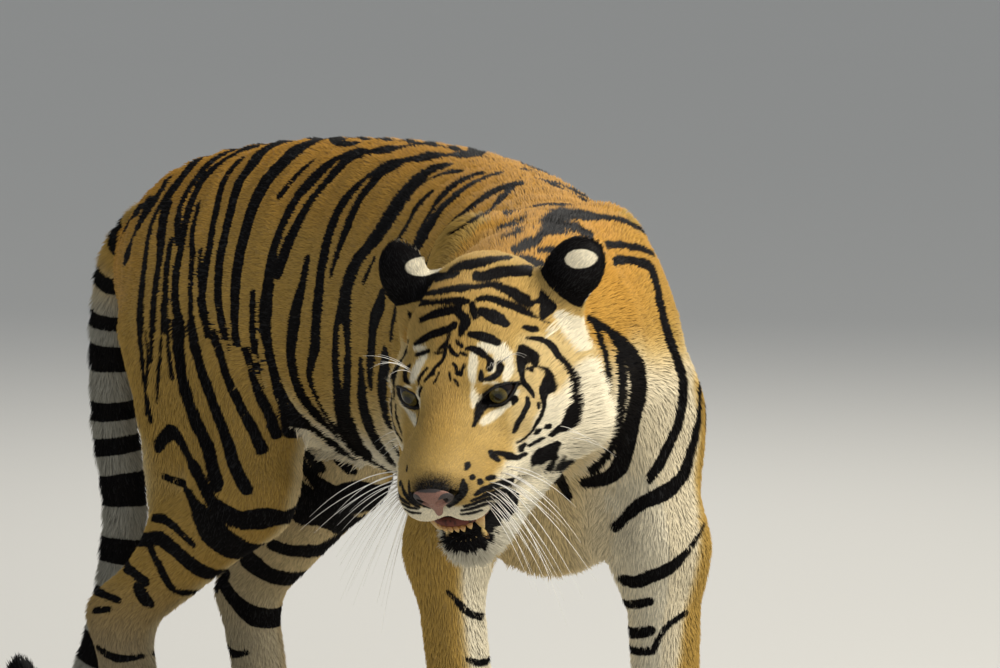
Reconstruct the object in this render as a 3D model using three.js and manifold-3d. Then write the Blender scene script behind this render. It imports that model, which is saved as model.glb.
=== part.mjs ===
// A life-size tiger standing still with its head lowered and turned to its right.
//
// The body is one smooth field: tapered oval masses, one for each muscle group or bone end, that
// melt into each other. The field's zero surface is the outline at the tips of the coat. It is
// meshed once for the body and once, more finely, for the head, thinned to few triangles, and then
// parted into named pieces by thin cuts.
//
// Units are millimetres. While the body is built, X is the heading of the trunk, Y is the tiger's
// left, Z is up and the floor is Z = 0. At the end the whole group is set over its own footprint.

import * as THREE from 'three';
import Module from 'manifold-3d';

const wasm = await Module();
wasm.setup();

// ---------------------------------------------------------------------------------------------
// Driving dimensions
// ---------------------------------------------------------------------------------------------

const GAP = 0.35; // every thin cut between two pieces
const BODY_CELL = 13; // grid of the body before thinning
const HEAD_CELL = 7; // grid of the head before thinning
const BODY_TRIANGLES = 2650;
const HEAD_TRIANGLES = 1650;

// Trunk stations from the root of the tail to the front of the chest:
// x, y, height of the back, height of the belly, half the width.
const TRUNK = [
  [-550, -40, 712, 550, 58],
  [-465, -15, 783, 490, 110],
  [-330, 32, 816, 455, 133],
  [-180, 62, 827, 430, 136],
  [-20, 68, 826, 415, 150],
  [130, 45, 812, 398, 158],
  [260, 0, 790, 385, 153],
  [370, -65, 775, 375, 138],
  [450, -135, 745, 385, 116],
];
const TRUNK_LENGTHS = 29; // masses along the trunk

// Tail stations from root to tip: x, y, z, radius.
const TAIL = [
  [-545, -35, 690, 40],
  [-597, -45, 645, 34],
  [-625, -45, 560, 32],
  [-632, -40, 440, 32],
  [-620, -32, 320, 31],
  [-625, -48, 200, 30],
  [-650, -70, 100, 29],
  [-690, -88, 55, 28],
  [-740, -95, 55, 26],
  [-785, -92, 95, 22],
];
const TAIL_LENGTHS = 27; // masses along the tail

const FORE_HEADING = -32; // degrees, the way the shoulders face
const HIND_HEADING = 20; // degrees, the way the hips face

// Joints of each leg, x, y, z. The upper ends lie inside the trunk.
const FORELEGS = {
  left: {
    withers: [330, 35, 710],
    shoulder: [478, -20, 560],
    elbow: [530, -30, 420],
    wrist: [570, -52, 150],
    ankle: [578, -57, 45],
    girth: 1.0,
    toes: -33,
  },
  right: {
    withers: [270, -115, 710],
    shoulder: [375, -200, 560],
    elbow: [400, -236, 420],
    wrist: [456, -238, 150],
    ankle: [468, -236, 45],
    girth: 0.87,
    toes: -33,
  },
};
const HINDLEGS = {
  left: {
    hip: [-430, 80, 610],
    knee: [-310, 100, 400],
    hock: [-500, 75, 225],
    ankle: [-462, 84, 45],
    seat: [-500, 50, 560],
    calf: [-420, 85, 330],
    toes: 16,
  },
  right: {
    hip: [-375, -45, 610],
    knee: [-228, -95, 395],
    hock: [-430, -158, 225],
    ankle: [-392, -147, 45],
    seat: [-445, -55, 570],
    calf: [-355, -115, 330],
    toes: 16,
  },
};

// The head has its own frame: X forward out of the nose, Y left, Z up, with the origin midway
// between the eyeballs and a little behind them. It is turned, then lowered, then tilted.
const HEAD_ORIGIN = [634, -357, 624];
const HEAD_TURN = -54.5; // degrees about the upright axis
const HEAD_LOWERED = 25; // degrees, nose down
const HEAD_TILT = 5; // degrees, left ear up
const HEAD_SCALE = 1.015;

const EYEBALL_RADIUS = 18.5;
const EYEBALL = [36, 46.5, 34.5]; // centre of the left one in the head's frame
const NECK_CUT = -128; // where the head leaves the neck, along the head's level heading

// ---------------------------------------------------------------------------------------------
// Small vector help
// ---------------------------------------------------------------------------------------------

const radians = THREE.MathUtils.degToRad;
const vector = (p) => new THREE.Vector3(...p);
const heading = (degrees) => new THREE.Vector3(Math.cos(radians(degrees)), Math.sin(radians(degrees)), 0);
const leftOf = (degrees) => heading(degrees + 90);

const headTurn = new THREE.Matrix4()
  .makeRotationZ(radians(HEAD_TURN))
  .multiply(new THREE.Matrix4().makeRotationY(radians(HEAD_LOWERED)))
  .multiply(new THREE.Matrix4().makeRotationX(radians(HEAD_TILT)));
const headPlace = new THREE.Matrix4()
  .makeTranslation(...HEAD_ORIGIN)
  .multiply(headTurn)
  .multiply(new THREE.Matrix4().makeScale(HEAD_SCALE, HEAD_SCALE, HEAD_SCALE));
const onHead = (p) => vector(p).applyMatrix4(headPlace);
const headWay = (p) => vector(p).applyMatrix4(headTurn);

// A smooth curve through rows of numbers, read off at evenly spaced steps.
function smoothRows(rows, steps) {
  const first = rows[0].map((value, i) => 2 * value - rows[1][i]);
  const last = rows.at(-1).map((value, i) => 2 * value - rows.at(-2)[i]);
  const padded = [first, ...rows, last];
  const result = [];
  for (let step = 0; step <= steps; step++) {
    const place = (step / steps) * (rows.length - 1);
    const index = Math.min(Math.floor(place), rows.length - 2);
    const u = place - index;
    const [a, b, c, d] = padded.slice(index, index + 4);
    const row = b.map((value, i) => {
      const slope = c[i] - a[i];
      const bend = 2 * a[i] - 5 * b[i] + 4 * c[i] - d[i];
      const twist = 3 * b[i] - a[i] - 3 * c[i] + d[i];
      return 0.5 * (2 * value + slope * u + bend * u * u + twist * u * u * u);
    });
    result.push(row);
  }
  return result;
}

// ---------------------------------------------------------------------------------------------
// The field
// ---------------------------------------------------------------------------------------------

// A tapered oval rod from one point to another. Its section has a half width along "side" and a
// half height across it, and its ends are rounded by "caps".
class Mass {
  constructor({ from, to, sizeA, sizeB, side, blend, caps = null }) {
    this.from = from;
    this.axis = to.clone().sub(from);
    this.length = this.axis.length();
    this.axis.divideScalar(this.length);
    this.side = side.clone().addScaledVector(this.axis, -side.dot(this.axis)).normalize();
    this.rise = this.axis.clone().cross(this.side);
    this.sizeA = sizeA;
    this.sizeB = sizeB;
    this.caps = caps;
    this.blend = blend;
    const reach = Math.max(...sizeA, ...sizeB, ...(caps ?? [0]));
    this.box = new THREE.Box3().setFromPoints([from, to]).expandByScalar(reach);
  }

  distance(x, y, z) {
    const { from, axis, side, rise, sizeA, sizeB } = this;
    const dx = x - from.x;
    const dy = y - from.y;
    const dz = z - from.z;
    const along = dx * axis.x + dy * axis.y + dz * axis.z;
    const t = Math.min(Math.max(along / this.length, 0), 1);
    const width = sizeA[0] + (sizeB[0] - sizeA[0]) * t;
    const height = sizeA[1] + (sizeB[1] - sizeA[1]) * t;
    const past = along - t * this.length;
    const cap = this.caps ? this.caps[past < 0 ? 0 : 1] : Math.min(width, height);
    const u = (dx * side.x + dy * side.y + dz * side.z) / width;
    const v = (dx * rise.x + dy * rise.y + dz * rise.z) / height;
    const w = past / cap;
    const near = Math.hypot(u, v, w) + 1e-9;
    const slope = Math.hypot(u / width, v / height, w / cap) + 1e-9;
    return (near * (near - 1)) / slope;
  }
}

const meltTogether = (a, b, reach) => {
  const overlap = Math.max(reach - Math.abs(a - b), 0) / reach;
  return Math.min(a, b) - overlap * overlap * reach * 0.25;
};
const cutAway = (a, b, reach) => -meltTogether(-a, b, reach);

// ---------------------------------------------------------------------------------------------
// The masses of the body
// ---------------------------------------------------------------------------------------------

// A run of short masses through smoothed stations of x, y, z, half width, half height.
function tubeMasses(stations, count, capLength, blend) {
  const rows = smoothRows(stations, count);
  const masses = [];
  for (let i = 0; i < count; i++) {
    const from = vector(rows[i].slice(0, 3));
    const to = vector(rows[i + 1].slice(0, 3));
    masses.push(new Mass({
      from,
      to,
      sizeA: rows[i].slice(3),
      sizeB: rows[i + 1].slice(3),
      side: new THREE.Vector3(from.y - to.y, to.x - from.x, 0),
      caps: [Math.min(capLength, rows[i][3]), Math.min(capLength, rows[i + 1][3])],
      blend,
    }));
  }
  return masses;
}

function rod(from, to, sizeA, sizeB, side, blend) {
  return new Mass({ from: vector(from), to: vector(to), sizeA, sizeB, side, blend });
}

// Four toes, a pad and the top of the foot, standing on the floor at the foot of a leg.
function pawMasses(ankle, toesHeading, size) {
  const ahead = heading(toesHeading);
  const left = leftOf(toesHeading);
  const place = (forward, sideways, up) => [
    ankle[0] + size * (ahead.x * forward + left.x * sideways),
    ankle[1] + size * (ahead.y * forward + left.y * sideways),
    up,
  ];
  const oval = (w, h) => [w * size, h * size];
  const masses = [
    rod(place(-12, 0, 40), place(38, 0, 26), oval(42, 40), oval(47, 33), left, 20),
    rod(place(-4, 0, 12), place(30, 0, 12), oval(38, 20), oval(42, 20), left, 12),
  ];
  const toes = [[74, 16, 16], [74, -16, 16], [57, 39, 15], [57, -39, 15]];
  for (const [forward, sideways, radius] of toes) {
    const root = place(forward - 30, sideways * 0.85, 24);
    const tip = place(forward, sideways, 16);
    masses.push(rod(root, tip, oval(radius, 24), oval(radius, 22), left, 8));
  }
  return masses;
}

function forelegMasses(leg) {
  const left = leftOf(FORE_HEADING);
  const wide = (size) => size * leg.girth;
  return [
    rod(leg.withers, leg.shoulder, [40, 85], [58, 88], left, 60),
    rod(leg.shoulder, leg.elbow, [58, 88], [wide(50), 70], left, 50),
    rod(leg.elbow, leg.wrist, [wide(46), 60], [34, 41], left, 40),
    rod(leg.wrist, leg.ankle, [36, 41], [40, 40], left, 30),
    ...pawMasses(leg.ankle, leg.toes, 1.0),
  ];
}

function hindlegMasses(leg) {
  const left = leftOf(HIND_HEADING);
  return [
    rod(leg.hip, leg.knee, [72, 120], [50, 70], left, 60),
    rod(leg.seat, leg.calf, [60, 75], [36, 45], left, 50),
    rod(leg.knee, leg.hock, [46, 58], [30, 40], left, 40),
    rod(leg.hock, leg.ankle, [31, 42], [34, 34], left, 30),
    ...pawMasses(leg.ankle, leg.toes, 0.9),
  ];
}

function trunkMasses() {
  const stations = TRUNK.map(([x, y, top, bottom, half]) => [
    x, y, (top + bottom) / 2, half, (top - bottom) / 2,
  ]);
  return tubeMasses(stations, TRUNK_LENGTHS, 30, 12);
}

function neckMasses() {
  const base = [370, -70, 640];
  const middle = [480, -175, 640];
  const nape = onHead([-80, 0, 0]).toArray();
  return [
    rod(base, middle, [105, 135], [103, 122], leftOf(-45), 60),
    rod(middle, nape, [103, 122], [95, 100], leftOf(-55), 60),
  ];
}

function tailMasses() {
  const stations = TAIL.map(([x, y, z, radius]) => [x, y, z, radius, radius]);
  return tubeMasses(stations, TAIL_LENGTHS, 30, 6);
}

// ---------------------------------------------------------------------------------------------
// The masses of the head, in its own frame
// ---------------------------------------------------------------------------------------------

function headRod(from, to, sizeA, sizeB, blend) {
  const grow = (sizes) => sizes.map((value) => value * HEAD_SCALE);
  return new Mass({
    from: onHead(from),
    to: onHead(to),
    sizeA: grow(sizeA),
    sizeB: grow(sizeB),
    side: headWay([0, 1, 0]),
    blend,
  });
}

function skullMasses() {
  const masses = [
    headRod([-80, 0, 54], [-35, 0, 54], [72, 72], [71, 66], 30),
    headRod([-30, 0, 52], [40, 0, 29], [67, 59], [53, 37], 20),
    headRod([35, 0, 30], [140, 0, -7], [42, 36], [30, 24], 20),
  ];
  for (const s of [1, -1]) {
    masses.push(
      headRod([-40, s * 72, -2], [34, s * 60, -12], [30, 42], [26, 32], 30), // cheekbone
      headRod([52, s * 48, 2], [15, s * 67, 3], [17, 17], [22, 22], 20), // rim below the eye
      headRod([-50, s * 68, -55], [0, s * 58, -53], [36, 46], [32, 39], 30), // jaw muscle
      headRod([-10, s * 57, -40], [85, s * 36, -36], [35, 39], [27, 31], 20), // cheek
      headRod([44, s * 34, 47], [20, s * 62, 41], [13, 12], [17, 15], 30), // brow
      headRod([96, s * 31, -33], [129, s * 25, -39], [32, 32], [27, 28], 12), // whisker pad
      headRod([-65, s * 82, 0], [-55, s * 89, -65], [32, 38], [34, 42], 30), // ruff
      headRod([-30, s * 56, -82], [66, s * 31, -101], [26, 32], [18, 22], 20), // side of the jaw
    );
  }
  masses.push(
    headRod([25, 0, -12], [115, 0, -24], [60, 50], [50, 38], 20), // upper jaw
    headRod([146, 0, -16], [154, 0, -17], [26, 18], [24, 16], 8), // nose
    headRod([-20, 0, -88], [84, 0, -112], [46, 28], [34, 22], 20), // lower jaw
    headRod([76, 0, -113], [101, 0, -114], [38, 27], [31, 25], 12), // chin
  );
  return masses;
}

// Both ears are turned back, so their rounded backs face forward. "up" runs to the ear's tip.
const EARS = {
  left: { across: 103, root: 88, up: [-0.25, 0.8, 0.7], face: [0.75, 0.15, 0.45] },
  right: { across: -89, root: -78, up: [-0.25, -0.25, 0.95], face: [0.9, -0.25, 0.2] },
};

const earRoot = ({ root }) =>
  headRod([-85, Math.sign(root) * 67, 50], [-94, root, 78], [38, 28], [30, 22], 30);

function mouthAndSockets() {
  const hollows = [headRod([45, 0, -70], [150, 0, -92], [42, 3], [46, 14], 6)];
  for (const s of [1, -1]) {
    hollows.push(headRod([60, s * 48, 34], [80, s * 53, 34], [15, 14], [19, 18], 12));
  }
  return hollows;
}

// ---------------------------------------------------------------------------------------------
// From the field to a thinned mesh
// ---------------------------------------------------------------------------------------------

// Adds up masses and hollows on a grid of points. The grid is one flat array, Z fastest.
function sampleField(masses, hollows, box, cell) {
  const size = box.getSize(new THREE.Vector3());
  const counts = size.toArray().map((length) => Math.ceil(length / cell) + 1);
  const values = new Float32Array(counts[0] * counts[1] * counts[2]).fill(1000);
  const origin = box.min.toArray();
  const merge = (mass, combine) => {
    const reach = mass.blend + 2 * cell;
    const low = mass.box.min.toArray();
    const high = mass.box.max.toArray();
    const start = low.map((v, i) => Math.max(0, Math.floor((v - reach - origin[i]) / cell)));
    const stop = high.map((v, i) => Math.min(counts[i] - 1, Math.ceil((v + reach - origin[i]) / cell)));
    for (let i = start[0]; i <= stop[0]; i++) {
      for (let j = start[1]; j <= stop[1]; j++) {
        for (let k = start[2]; k <= stop[2]; k++) {
          const index = (i * counts[1] + j) * counts[2] + k;
          const x = origin[0] + i * cell;
          const y = origin[1] + j * cell;
          const z = origin[2] + k * cell;
          values[index] = combine(values[index], mass.distance(x, y, z), mass.blend);
        }
      }
    }
  };
  masses.forEach((mass) => merge(mass, meltTogether));
  hollows.forEach((mass) => merge(mass, cutAway));
  const field = { counts, values, origin, cell };
  unpinch(field);
  return field;
}

// A grid face whose inside corners lie only across from each other would pinch the surface there,
// so one of its outside corners is brought in.
function unpinch({ counts, values, cell }) {
  const strides = [counts[1] * counts[2], counts[2], 1];
  const last = values.length - strides[0] - strides[1];
  const justInside = -cell / 20;
  let changed = true;
  while (changed) {
    changed = false;
    for (let here = 0; here < last; here++) {
      for (let axis = 0; axis < 3; axis++) {
        const a = here + strides[axis];
        const b = here + strides[(axis + 1) % 3];
        const far = a + b - here;
        const inside = values[here] < 0;
        if (inside !== values[far] < 0 || inside === values[a] < 0 || inside === values[b] < 0) continue;
        const [p, q] = inside ? [a, b] : [here, far];
        values[values[p] < values[q] ? p : q] = justInside;
        changed = true;
      }
    }
  }
}

// One vertex in each grid cell that the surface crosses, at the mean of its edge crossings, and
// one quad round each grid edge that it crosses.
function surfaceNet({ counts, values, origin, cell }) {
  const [nx, ny, nz] = counts;
  const at = (i, j, k) => (i * ny + j) * nz + k;
  const strides = [ny * nz, nz, 1];
  const vertexOf = new Int32Array(values.length).fill(-1);
  const vertices = [];
  const corners = [];
  for (let n = 0; n < 8; n++) corners.push([(n >> 2) & 1, (n >> 1) & 1, n & 1]);
  for (let i = 0; i < nx - 1; i++) {
    for (let j = 0; j < ny - 1; j++) {
      for (let k = 0; k < nz - 1; k++) {
        const sum = [0, 0, 0];
        let crossings = 0;
        for (const corner of corners) {
          const here = at(i + corner[0], j + corner[1], k + corner[2]);
          for (let axis = 0; axis < 3; axis++) {
            if (corner[axis] === 1) continue;
            const a = values[here];
            const b = values[here + strides[axis]];
            if (a < 0 === b < 0) continue;
            const t = a / (a - b);
            for (let m = 0; m < 3; m++) sum[m] += corner[m] + (m === axis ? t : 0);
            crossings++;
          }
        }
        if (crossings === 0) continue;
        vertexOf[at(i, j, k)] = vertices.length;
        const base = [i, j, k];
        vertices.push(sum.map((value, m) => origin[m] + cell * (base[m] + value / crossings)));
      }
    }
  }
  const triangles = [];
  for (let i = 1; i < nx - 1; i++) {
    for (let j = 1; j < ny - 1; j++) {
      for (let k = 1; k < nz - 1; k++) {
        const here = at(i, j, k);
        for (let axis = 0; axis < 3; axis++) {
          const inside = values[here] < 0;
          if (inside === values[here + strides[axis]] < 0) continue;
          const b = strides[(axis + 1) % 3];
          const c = strides[(axis + 2) % 3];
          const ring = [here - b - c, here - c, here, here - b].map((cellIndex) => vertexOf[cellIndex]);
          if (!inside) ring.reverse();
          triangles.push([ring[0], ring[1], ring[2]], [ring[0], ring[2], ring[3]]);
        }
      }
    }
  }
  return { vertices, triangles };
}

// Thins a closed mesh: the edge whose removal moves the surface least is closed up, again and
// again, as long as the mesh stays closed and no triangle turns over.
function thin({ vertices, triangles }, target) {
  const points = vertices.map((p) => vector(p));
  const quadrics = points.map(() => new Float64Array(10));
  const faces = triangles.map((t) => t.slice());
  const facesOf = points.map(() => new Set());
  const stamps = new Int32Array(points.length);
  const normalOf = (a, b, c) => b.clone().sub(a).cross(c.clone().sub(a));
  faces.forEach((face, index) => {
    const [a, b, c] = face.map((v) => points[v]);
    const normal = normalOf(a, b, c);
    const area = normal.length();
    normal.divideScalar(area || 1);
    const plane = [normal.x, normal.y, normal.z, -normal.dot(a)];
    for (const v of face) {
      facesOf[v].add(index);
      let slot = 0;
      for (let i = 0; i < 4; i++) {
        for (let j = i; j < 4; j++) quadrics[v][slot++] += area * plane[i] * plane[j];
      }
    }
  });
  const error = (q, { x, y, z }) =>
    q[0] * x * x + 2 * q[1] * x * y + 2 * q[2] * x * z + 2 * q[3] * x +
    q[4] * y * y + 2 * q[5] * y * z + 2 * q[6] * y + q[7] * z * z + 2 * q[8] * z + q[9];
  const neighbours = (v) => {
    const found = new Set();
    for (const f of facesOf[v]) faces[f].forEach((w) => w !== v && found.add(w));
    return found;
  };
  const best = (a, b) => {
    const sum = quadrics[a].map((value, i) => value + quadrics[b][i]);
    const solve = new THREE.Matrix3().set(sum[0], sum[1], sum[2], sum[1], sum[4], sum[5], sum[2], sum[5], sum[7]);
    const length = points[a].distanceTo(points[b]);
    const choices = [points[a], points[b], points[a].clone().lerp(points[b], 0.5)];
    if (Math.abs(solve.determinant()) > 1e-3 * sum[0] * sum[4] * sum[7]) {
      const ideal = new THREE.Vector3(-sum[3], -sum[6], -sum[8]).applyMatrix3(solve.invert());
      if (ideal.distanceTo(choices[2]) < length) choices.push(ideal);
    }
    let cost = Infinity;
    let place = null;
    for (const choice of choices) {
      const value = error(sum, choice);
      if (value < cost) [cost, place] = [value, choice];
    }
    return { cost: cost + 1e-3 * length * length, place };
  };
  const heap = [];
  const push = (entry) => {
    let i = heap.push(entry) - 1;
    while (i > 0) {
      const parent = (i - 1) >> 1;
      if (heap[parent].cost <= heap[i].cost) break;
      [heap[parent], heap[i]] = [heap[i], heap[parent]];
      i = parent;
    }
  };
  const pop = () => {
    const top = heap[0];
    const end = heap.pop();
    if (heap.length === 0) return top;
    heap[0] = end;
    let i = 0;
    for (;;) {
      let least = i;
      for (const child of [2 * i + 1, 2 * i + 2]) {
        if (child < heap.length && heap[child].cost < heap[least].cost) least = child;
      }
      if (least === i) return top;
      [heap[least], heap[i]] = [heap[i], heap[least]];
      i = least;
    }
  };
  const enter = (a, b) => push({ ...best(a, b), a, b, stamp: stamps[a] + stamps[b] });
  for (const face of faces) {
    for (let i = 0; i < 3; i++) {
      const [a, b] = [face[i], face[(i + 1) % 3]];
      if (a < b) enter(a, b);
    }
  }
  const turnsOver = (v, other, place) => {
    for (const f of facesOf[v]) {
      const face = faces[f];
      if (face.includes(other)) continue;
      const before = normalOf(...face.map((w) => points[w]));
      const after = normalOf(...face.map((w) => (w === v ? place : points[w])));
      if (before.dot(after) < 0.25 * before.length() * after.length()) return true;
    }
    return false;
  };
  let left = faces.length;
  const gone = new Uint8Array(points.length);
  while (left > target && heap.length > 0) {
    const { a, b, place, stamp } = pop();
    if (gone[a] || gone[b] || stamp !== stamps[a] + stamps[b]) continue;
    const around = neighbours(b);
    const shared = [...neighbours(a)].filter((v) => around.has(v));
    if (shared.length !== 2 || turnsOver(a, b, place) || turnsOver(b, a, place)) continue;
    points[a] = place.clone();
    quadrics[a].forEach((value, i) => (quadrics[a][i] = value + quadrics[b][i]));
    for (const f of [...facesOf[b]]) {
      if (faces[f].includes(a)) {
        faces[f].forEach((v) => facesOf[v].delete(f));
        faces[f] = null;
        left--;
      } else {
        faces[f] = faces[f].map((v) => (v === b ? a : v));
        facesOf[a].add(f);
      }
    }
    gone[b] = 1;
    const ring = neighbours(a);
    stamps[a]++;
    for (const v of ring) stamps[v]++;
    for (const v of ring) {
      for (const w of neighbours(v)) enter(Math.min(v, w), Math.max(v, w));
    }
  }
  return { vertices: points.map((p) => p.toArray()), triangles: faces.filter(Boolean) };
}

// ---------------------------------------------------------------------------------------------
// Solids
// ---------------------------------------------------------------------------------------------

function solidFromMesh({ vertices, triangles }) {
  const used = new Map();
  const places = [];
  const corners = [];
  for (const v of triangles.flat()) {
    if (!used.has(v)) {
      used.set(v, used.size);
      places.push(...vertices[v]);
    }
    corners.push(used.get(v));
  }
  const mesh = new wasm.Mesh({
    numProp: 3,
    vertProperties: new Float32Array(places),
    triVerts: new Uint32Array(corners),
  });
  return new wasm.Manifold(mesh);
}

// A solid from a closed three.js geometry, its like vertices joined by their place.
function solidFromGeometry(geometry, matrix = new THREE.Matrix4()) {
  const position = geometry.clone().applyMatrix4(matrix).getAttribute('position');
  const index = geometry.index ? [...geometry.index.array] : [...Array(position.count).keys()];
  const keys = new Map();
  const vertices = [];
  const same = index.map((v) => {
    const place = [position.getX(v), position.getY(v), position.getZ(v)];
    const key = place.map((value) => value.toFixed(3)).join();
    if (!keys.has(key)) keys.set(key, vertices.push(place) - 1);
    return keys.get(key);
  });
  const triangles = [];
  for (let i = 0; i < same.length; i += 3) {
    const [a, b, c] = same.slice(i, i + 3);
    if (a !== b && b !== c && c !== a) triangles.push([a, b, c]);
  }
  return solidFromMesh({ vertices, triangles });
}

function block(size, matrix) {
  return solidFromGeometry(new THREE.BoxGeometry(...size), matrix);
}

// A block given by its centre, size and heading, in the body's frame.
function bodyBlock(centre, size, degrees = 0, grow = 0) {
  const turned = new THREE.Matrix4().makeTranslation(...centre);
  turned.multiply(new THREE.Matrix4().makeRotationZ(radians(degrees)));
  return block(size.map((value) => value + 2 * grow), turned);
}

// A block in the head's frame, turned about the head's own crosswise axis.
function headBlock(centre, size, pitch = 0, grow = 0) {
  const placed = headPlace.clone().multiply(new THREE.Matrix4().makeTranslation(...centre));
  placed.multiply(new THREE.Matrix4().makeRotationY(radians(pitch)));
  return block(size.map((value) => value + 2 * grow), placed);
}

// The largest connected piece. The crumbs that a cut leaves at its edge are dropped.
function largest(solid) {
  return solid.decompose().sort((a, b) => b.volume() - a.volume())[0];
}

// ---------------------------------------------------------------------------------------------
// Meshing the body and the head
// ---------------------------------------------------------------------------------------------

const bodyMasses = [
  ...trunkMasses(),
  ...neckMasses(),
  ...forelegMasses(FORELEGS.left),
  ...forelegMasses(FORELEGS.right),
  ...hindlegMasses(HINDLEGS.right),
  ...hindlegMasses(HINDLEGS.left),
  ...tailMasses(),
];
const headMasses = [...skullMasses(), earRoot(EARS.left), earRoot(EARS.right)];
const allMasses = [...bodyMasses, ...headMasses];
const hollows = mouthAndSockets();

const bodyBox = new THREE.Box3(new THREE.Vector3(-850, -560, -40), new THREE.Vector3(800, 280, 900));
const bodyMesh = thin(surfaceNet(sampleField(allMasses, hollows, bodyBox, BODY_CELL)), BODY_TRIANGLES);

// The head is closed off behind the neck cut by one more hollow, a wide flat block of a mass.
const level = heading(HEAD_TURN);
const cutPoint = vector(HEAD_ORIGIN).addScaledVector(level, NECK_CUT);
const endStop = new Mass({
  from: cutPoint.clone().addScaledVector(level, -230),
  to: cutPoint.clone().addScaledVector(level, -229),
  sizeA: [900, 900],
  sizeB: [900, 900],
  side: leftOf(HEAD_TURN),
  caps: [200, 200],
  blend: 1,
});
const headBox = new THREE.Box3().setFromCenterAndSize(vector(HEAD_ORIGIN), new THREE.Vector3(540, 540, 470));
const headField = sampleField(allMasses, [...hollows, endStop], headBox, HEAD_CELL);
const headMesh = thin(surfaceNet(headField), HEAD_TRIANGLES);

// ---------------------------------------------------------------------------------------------
// Parting the solids
// ---------------------------------------------------------------------------------------------

// Takes one named piece out of a solid with a block, and leaves a thin gap round it.
class Parting {
  constructor(solid) {
    this.rest = solid;
    this.pieces = {};
  }

  take(name, makeBlock) {
    this.pieces[name] = largest(this.rest.intersect(makeBlock(0)));
    this.rest = largest(this.rest.subtract(makeBlock(GAP)));
  }

  keepRest(name) {
    this.pieces[name] = this.rest;
  }
}

// A convex outline of (sideways, height) points, counterclockwise, with every edge moved outward.
function widen(outline, distance) {
  const points = outline.map((p) => new THREE.Vector2(...p));
  const normals = points.map((p, i) => {
    const edge = points[(i + 1) % points.length].clone().sub(p).normalize();
    return new THREE.Vector2(edge.y, -edge.x);
  });
  return points.map((p, i) => {
    const sum = normals[i].clone().add(normals.at(i - 1));
    return p.clone().addScaledVector(sum, (2 * distance) / sum.lengthSq());
  });
}

// A block that is a flat outline of (sideways, height) points, carried along a heading.
function wedge(outline, degrees, start, length, grow) {
  const shape = new THREE.Shape(widen(outline, grow));
  const geometry = new THREE.ExtrudeGeometry(shape, { depth: length + 2 * grow, bevelEnabled: false });
  const basis = new THREE.Matrix4().makeBasis(leftOf(degrees), new THREE.Vector3(0, 0, 1), heading(degrees));
  basis.setPosition(heading(degrees).multiplyScalar(start - grow));
  return solidFromGeometry(geometry, basis);
}

const floorBlock = bodyBlock([0, 0, -50], [3000, 3000, 100]);
const headCentre = vector(HEAD_ORIGIN).addScaledVector(level, NECK_CUT + 250).setZ(662).toArray();
const headRegion = (grow) => bodyBlock(headCentre, [500, 520, 475], HEAD_TURN, grow);

const body = new Parting(largest(solidFromMesh(bodyMesh).subtract(floorBlock)));
body.rest = largest(body.rest.subtract(headRegion(GAP)));

// Tail, tip to root. The root stays on the rump as far back as TAIL_ROOT.
const TAIL_ROOT = -592;
const TAIL_SIDE = -584;
const TAIL_ENDS = [560, 430, 300, 170]; // heights of the cuts down the hanging part
const TAIL_CURL = -703; // where the tip parts from the curl
const tailBlock = (side, low, high) => (grow) =>
  bodyBlock([side - 150, -60, (low + high) / 2], [300, 320, high - low], 0, grow);
body.take('tail_6', tailBlock(TAIL_CURL, -10, TAIL_ENDS[3]));
body.take('tail_5', tailBlock(TAIL_SIDE, -10, TAIL_ENDS[3]));
body.take('tail_4', tailBlock(TAIL_SIDE, TAIL_ENDS[3], TAIL_ENDS[2]));
body.take('tail_3', tailBlock(TAIL_SIDE, TAIL_ENDS[2], TAIL_ENDS[1]));
body.take('tail_2', tailBlock(TAIL_SIDE, TAIL_ENDS[1], TAIL_ENDS[0]));
body.take('tail_1', tailBlock(TAIL_ROOT, TAIL_ENDS[0], 780));

// Legs, from the feet up. The floor stretches of a pair are parted where its two legs part.
const PAW_TOP = 82;
const HOCK_TOP = 228;
const LEG_TOP = 332; // the knees and elbows are above this height
const FORE_SPLIT = 149; // sideways, between the forelegs, in their own heading
const HIND_SPLIT = 104;

function legBlock(side, split, degrees, ahead, low, high) {
  const half = 130;
  const across = split + (side === 'left' ? half : -half);
  const centre = heading(degrees).multiplyScalar(ahead).addScaledVector(leftOf(degrees), across);
  centre.setZ((low + high) / 2);
  return (grow) => bodyBlock(centre.toArray(), [420, 2 * half, high - low], degrees, grow);
}

for (const side of ['left', 'right']) {
  const fore = (low, high) => legBlock(side, FORE_SPLIT, FORE_HEADING, 560, low, high);
  const hind = (low, high) => legBlock(side, HIND_SPLIT, HIND_HEADING, -370, low, high);
  body.take(`forepaw_${side}`, fore(-5, PAW_TOP));
  body.take(`forearm_${side}`, fore(PAW_TOP, LEG_TOP));
  body.take(`hindpaw_${side}`, hind(-5, PAW_TOP));
  body.take(`hind_cannon_${side}`, hind(PAW_TOP, HOCK_TOP));
  body.take(`shank_${side}`, hind(HOCK_TOP, LEG_TOP));
}

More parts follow.
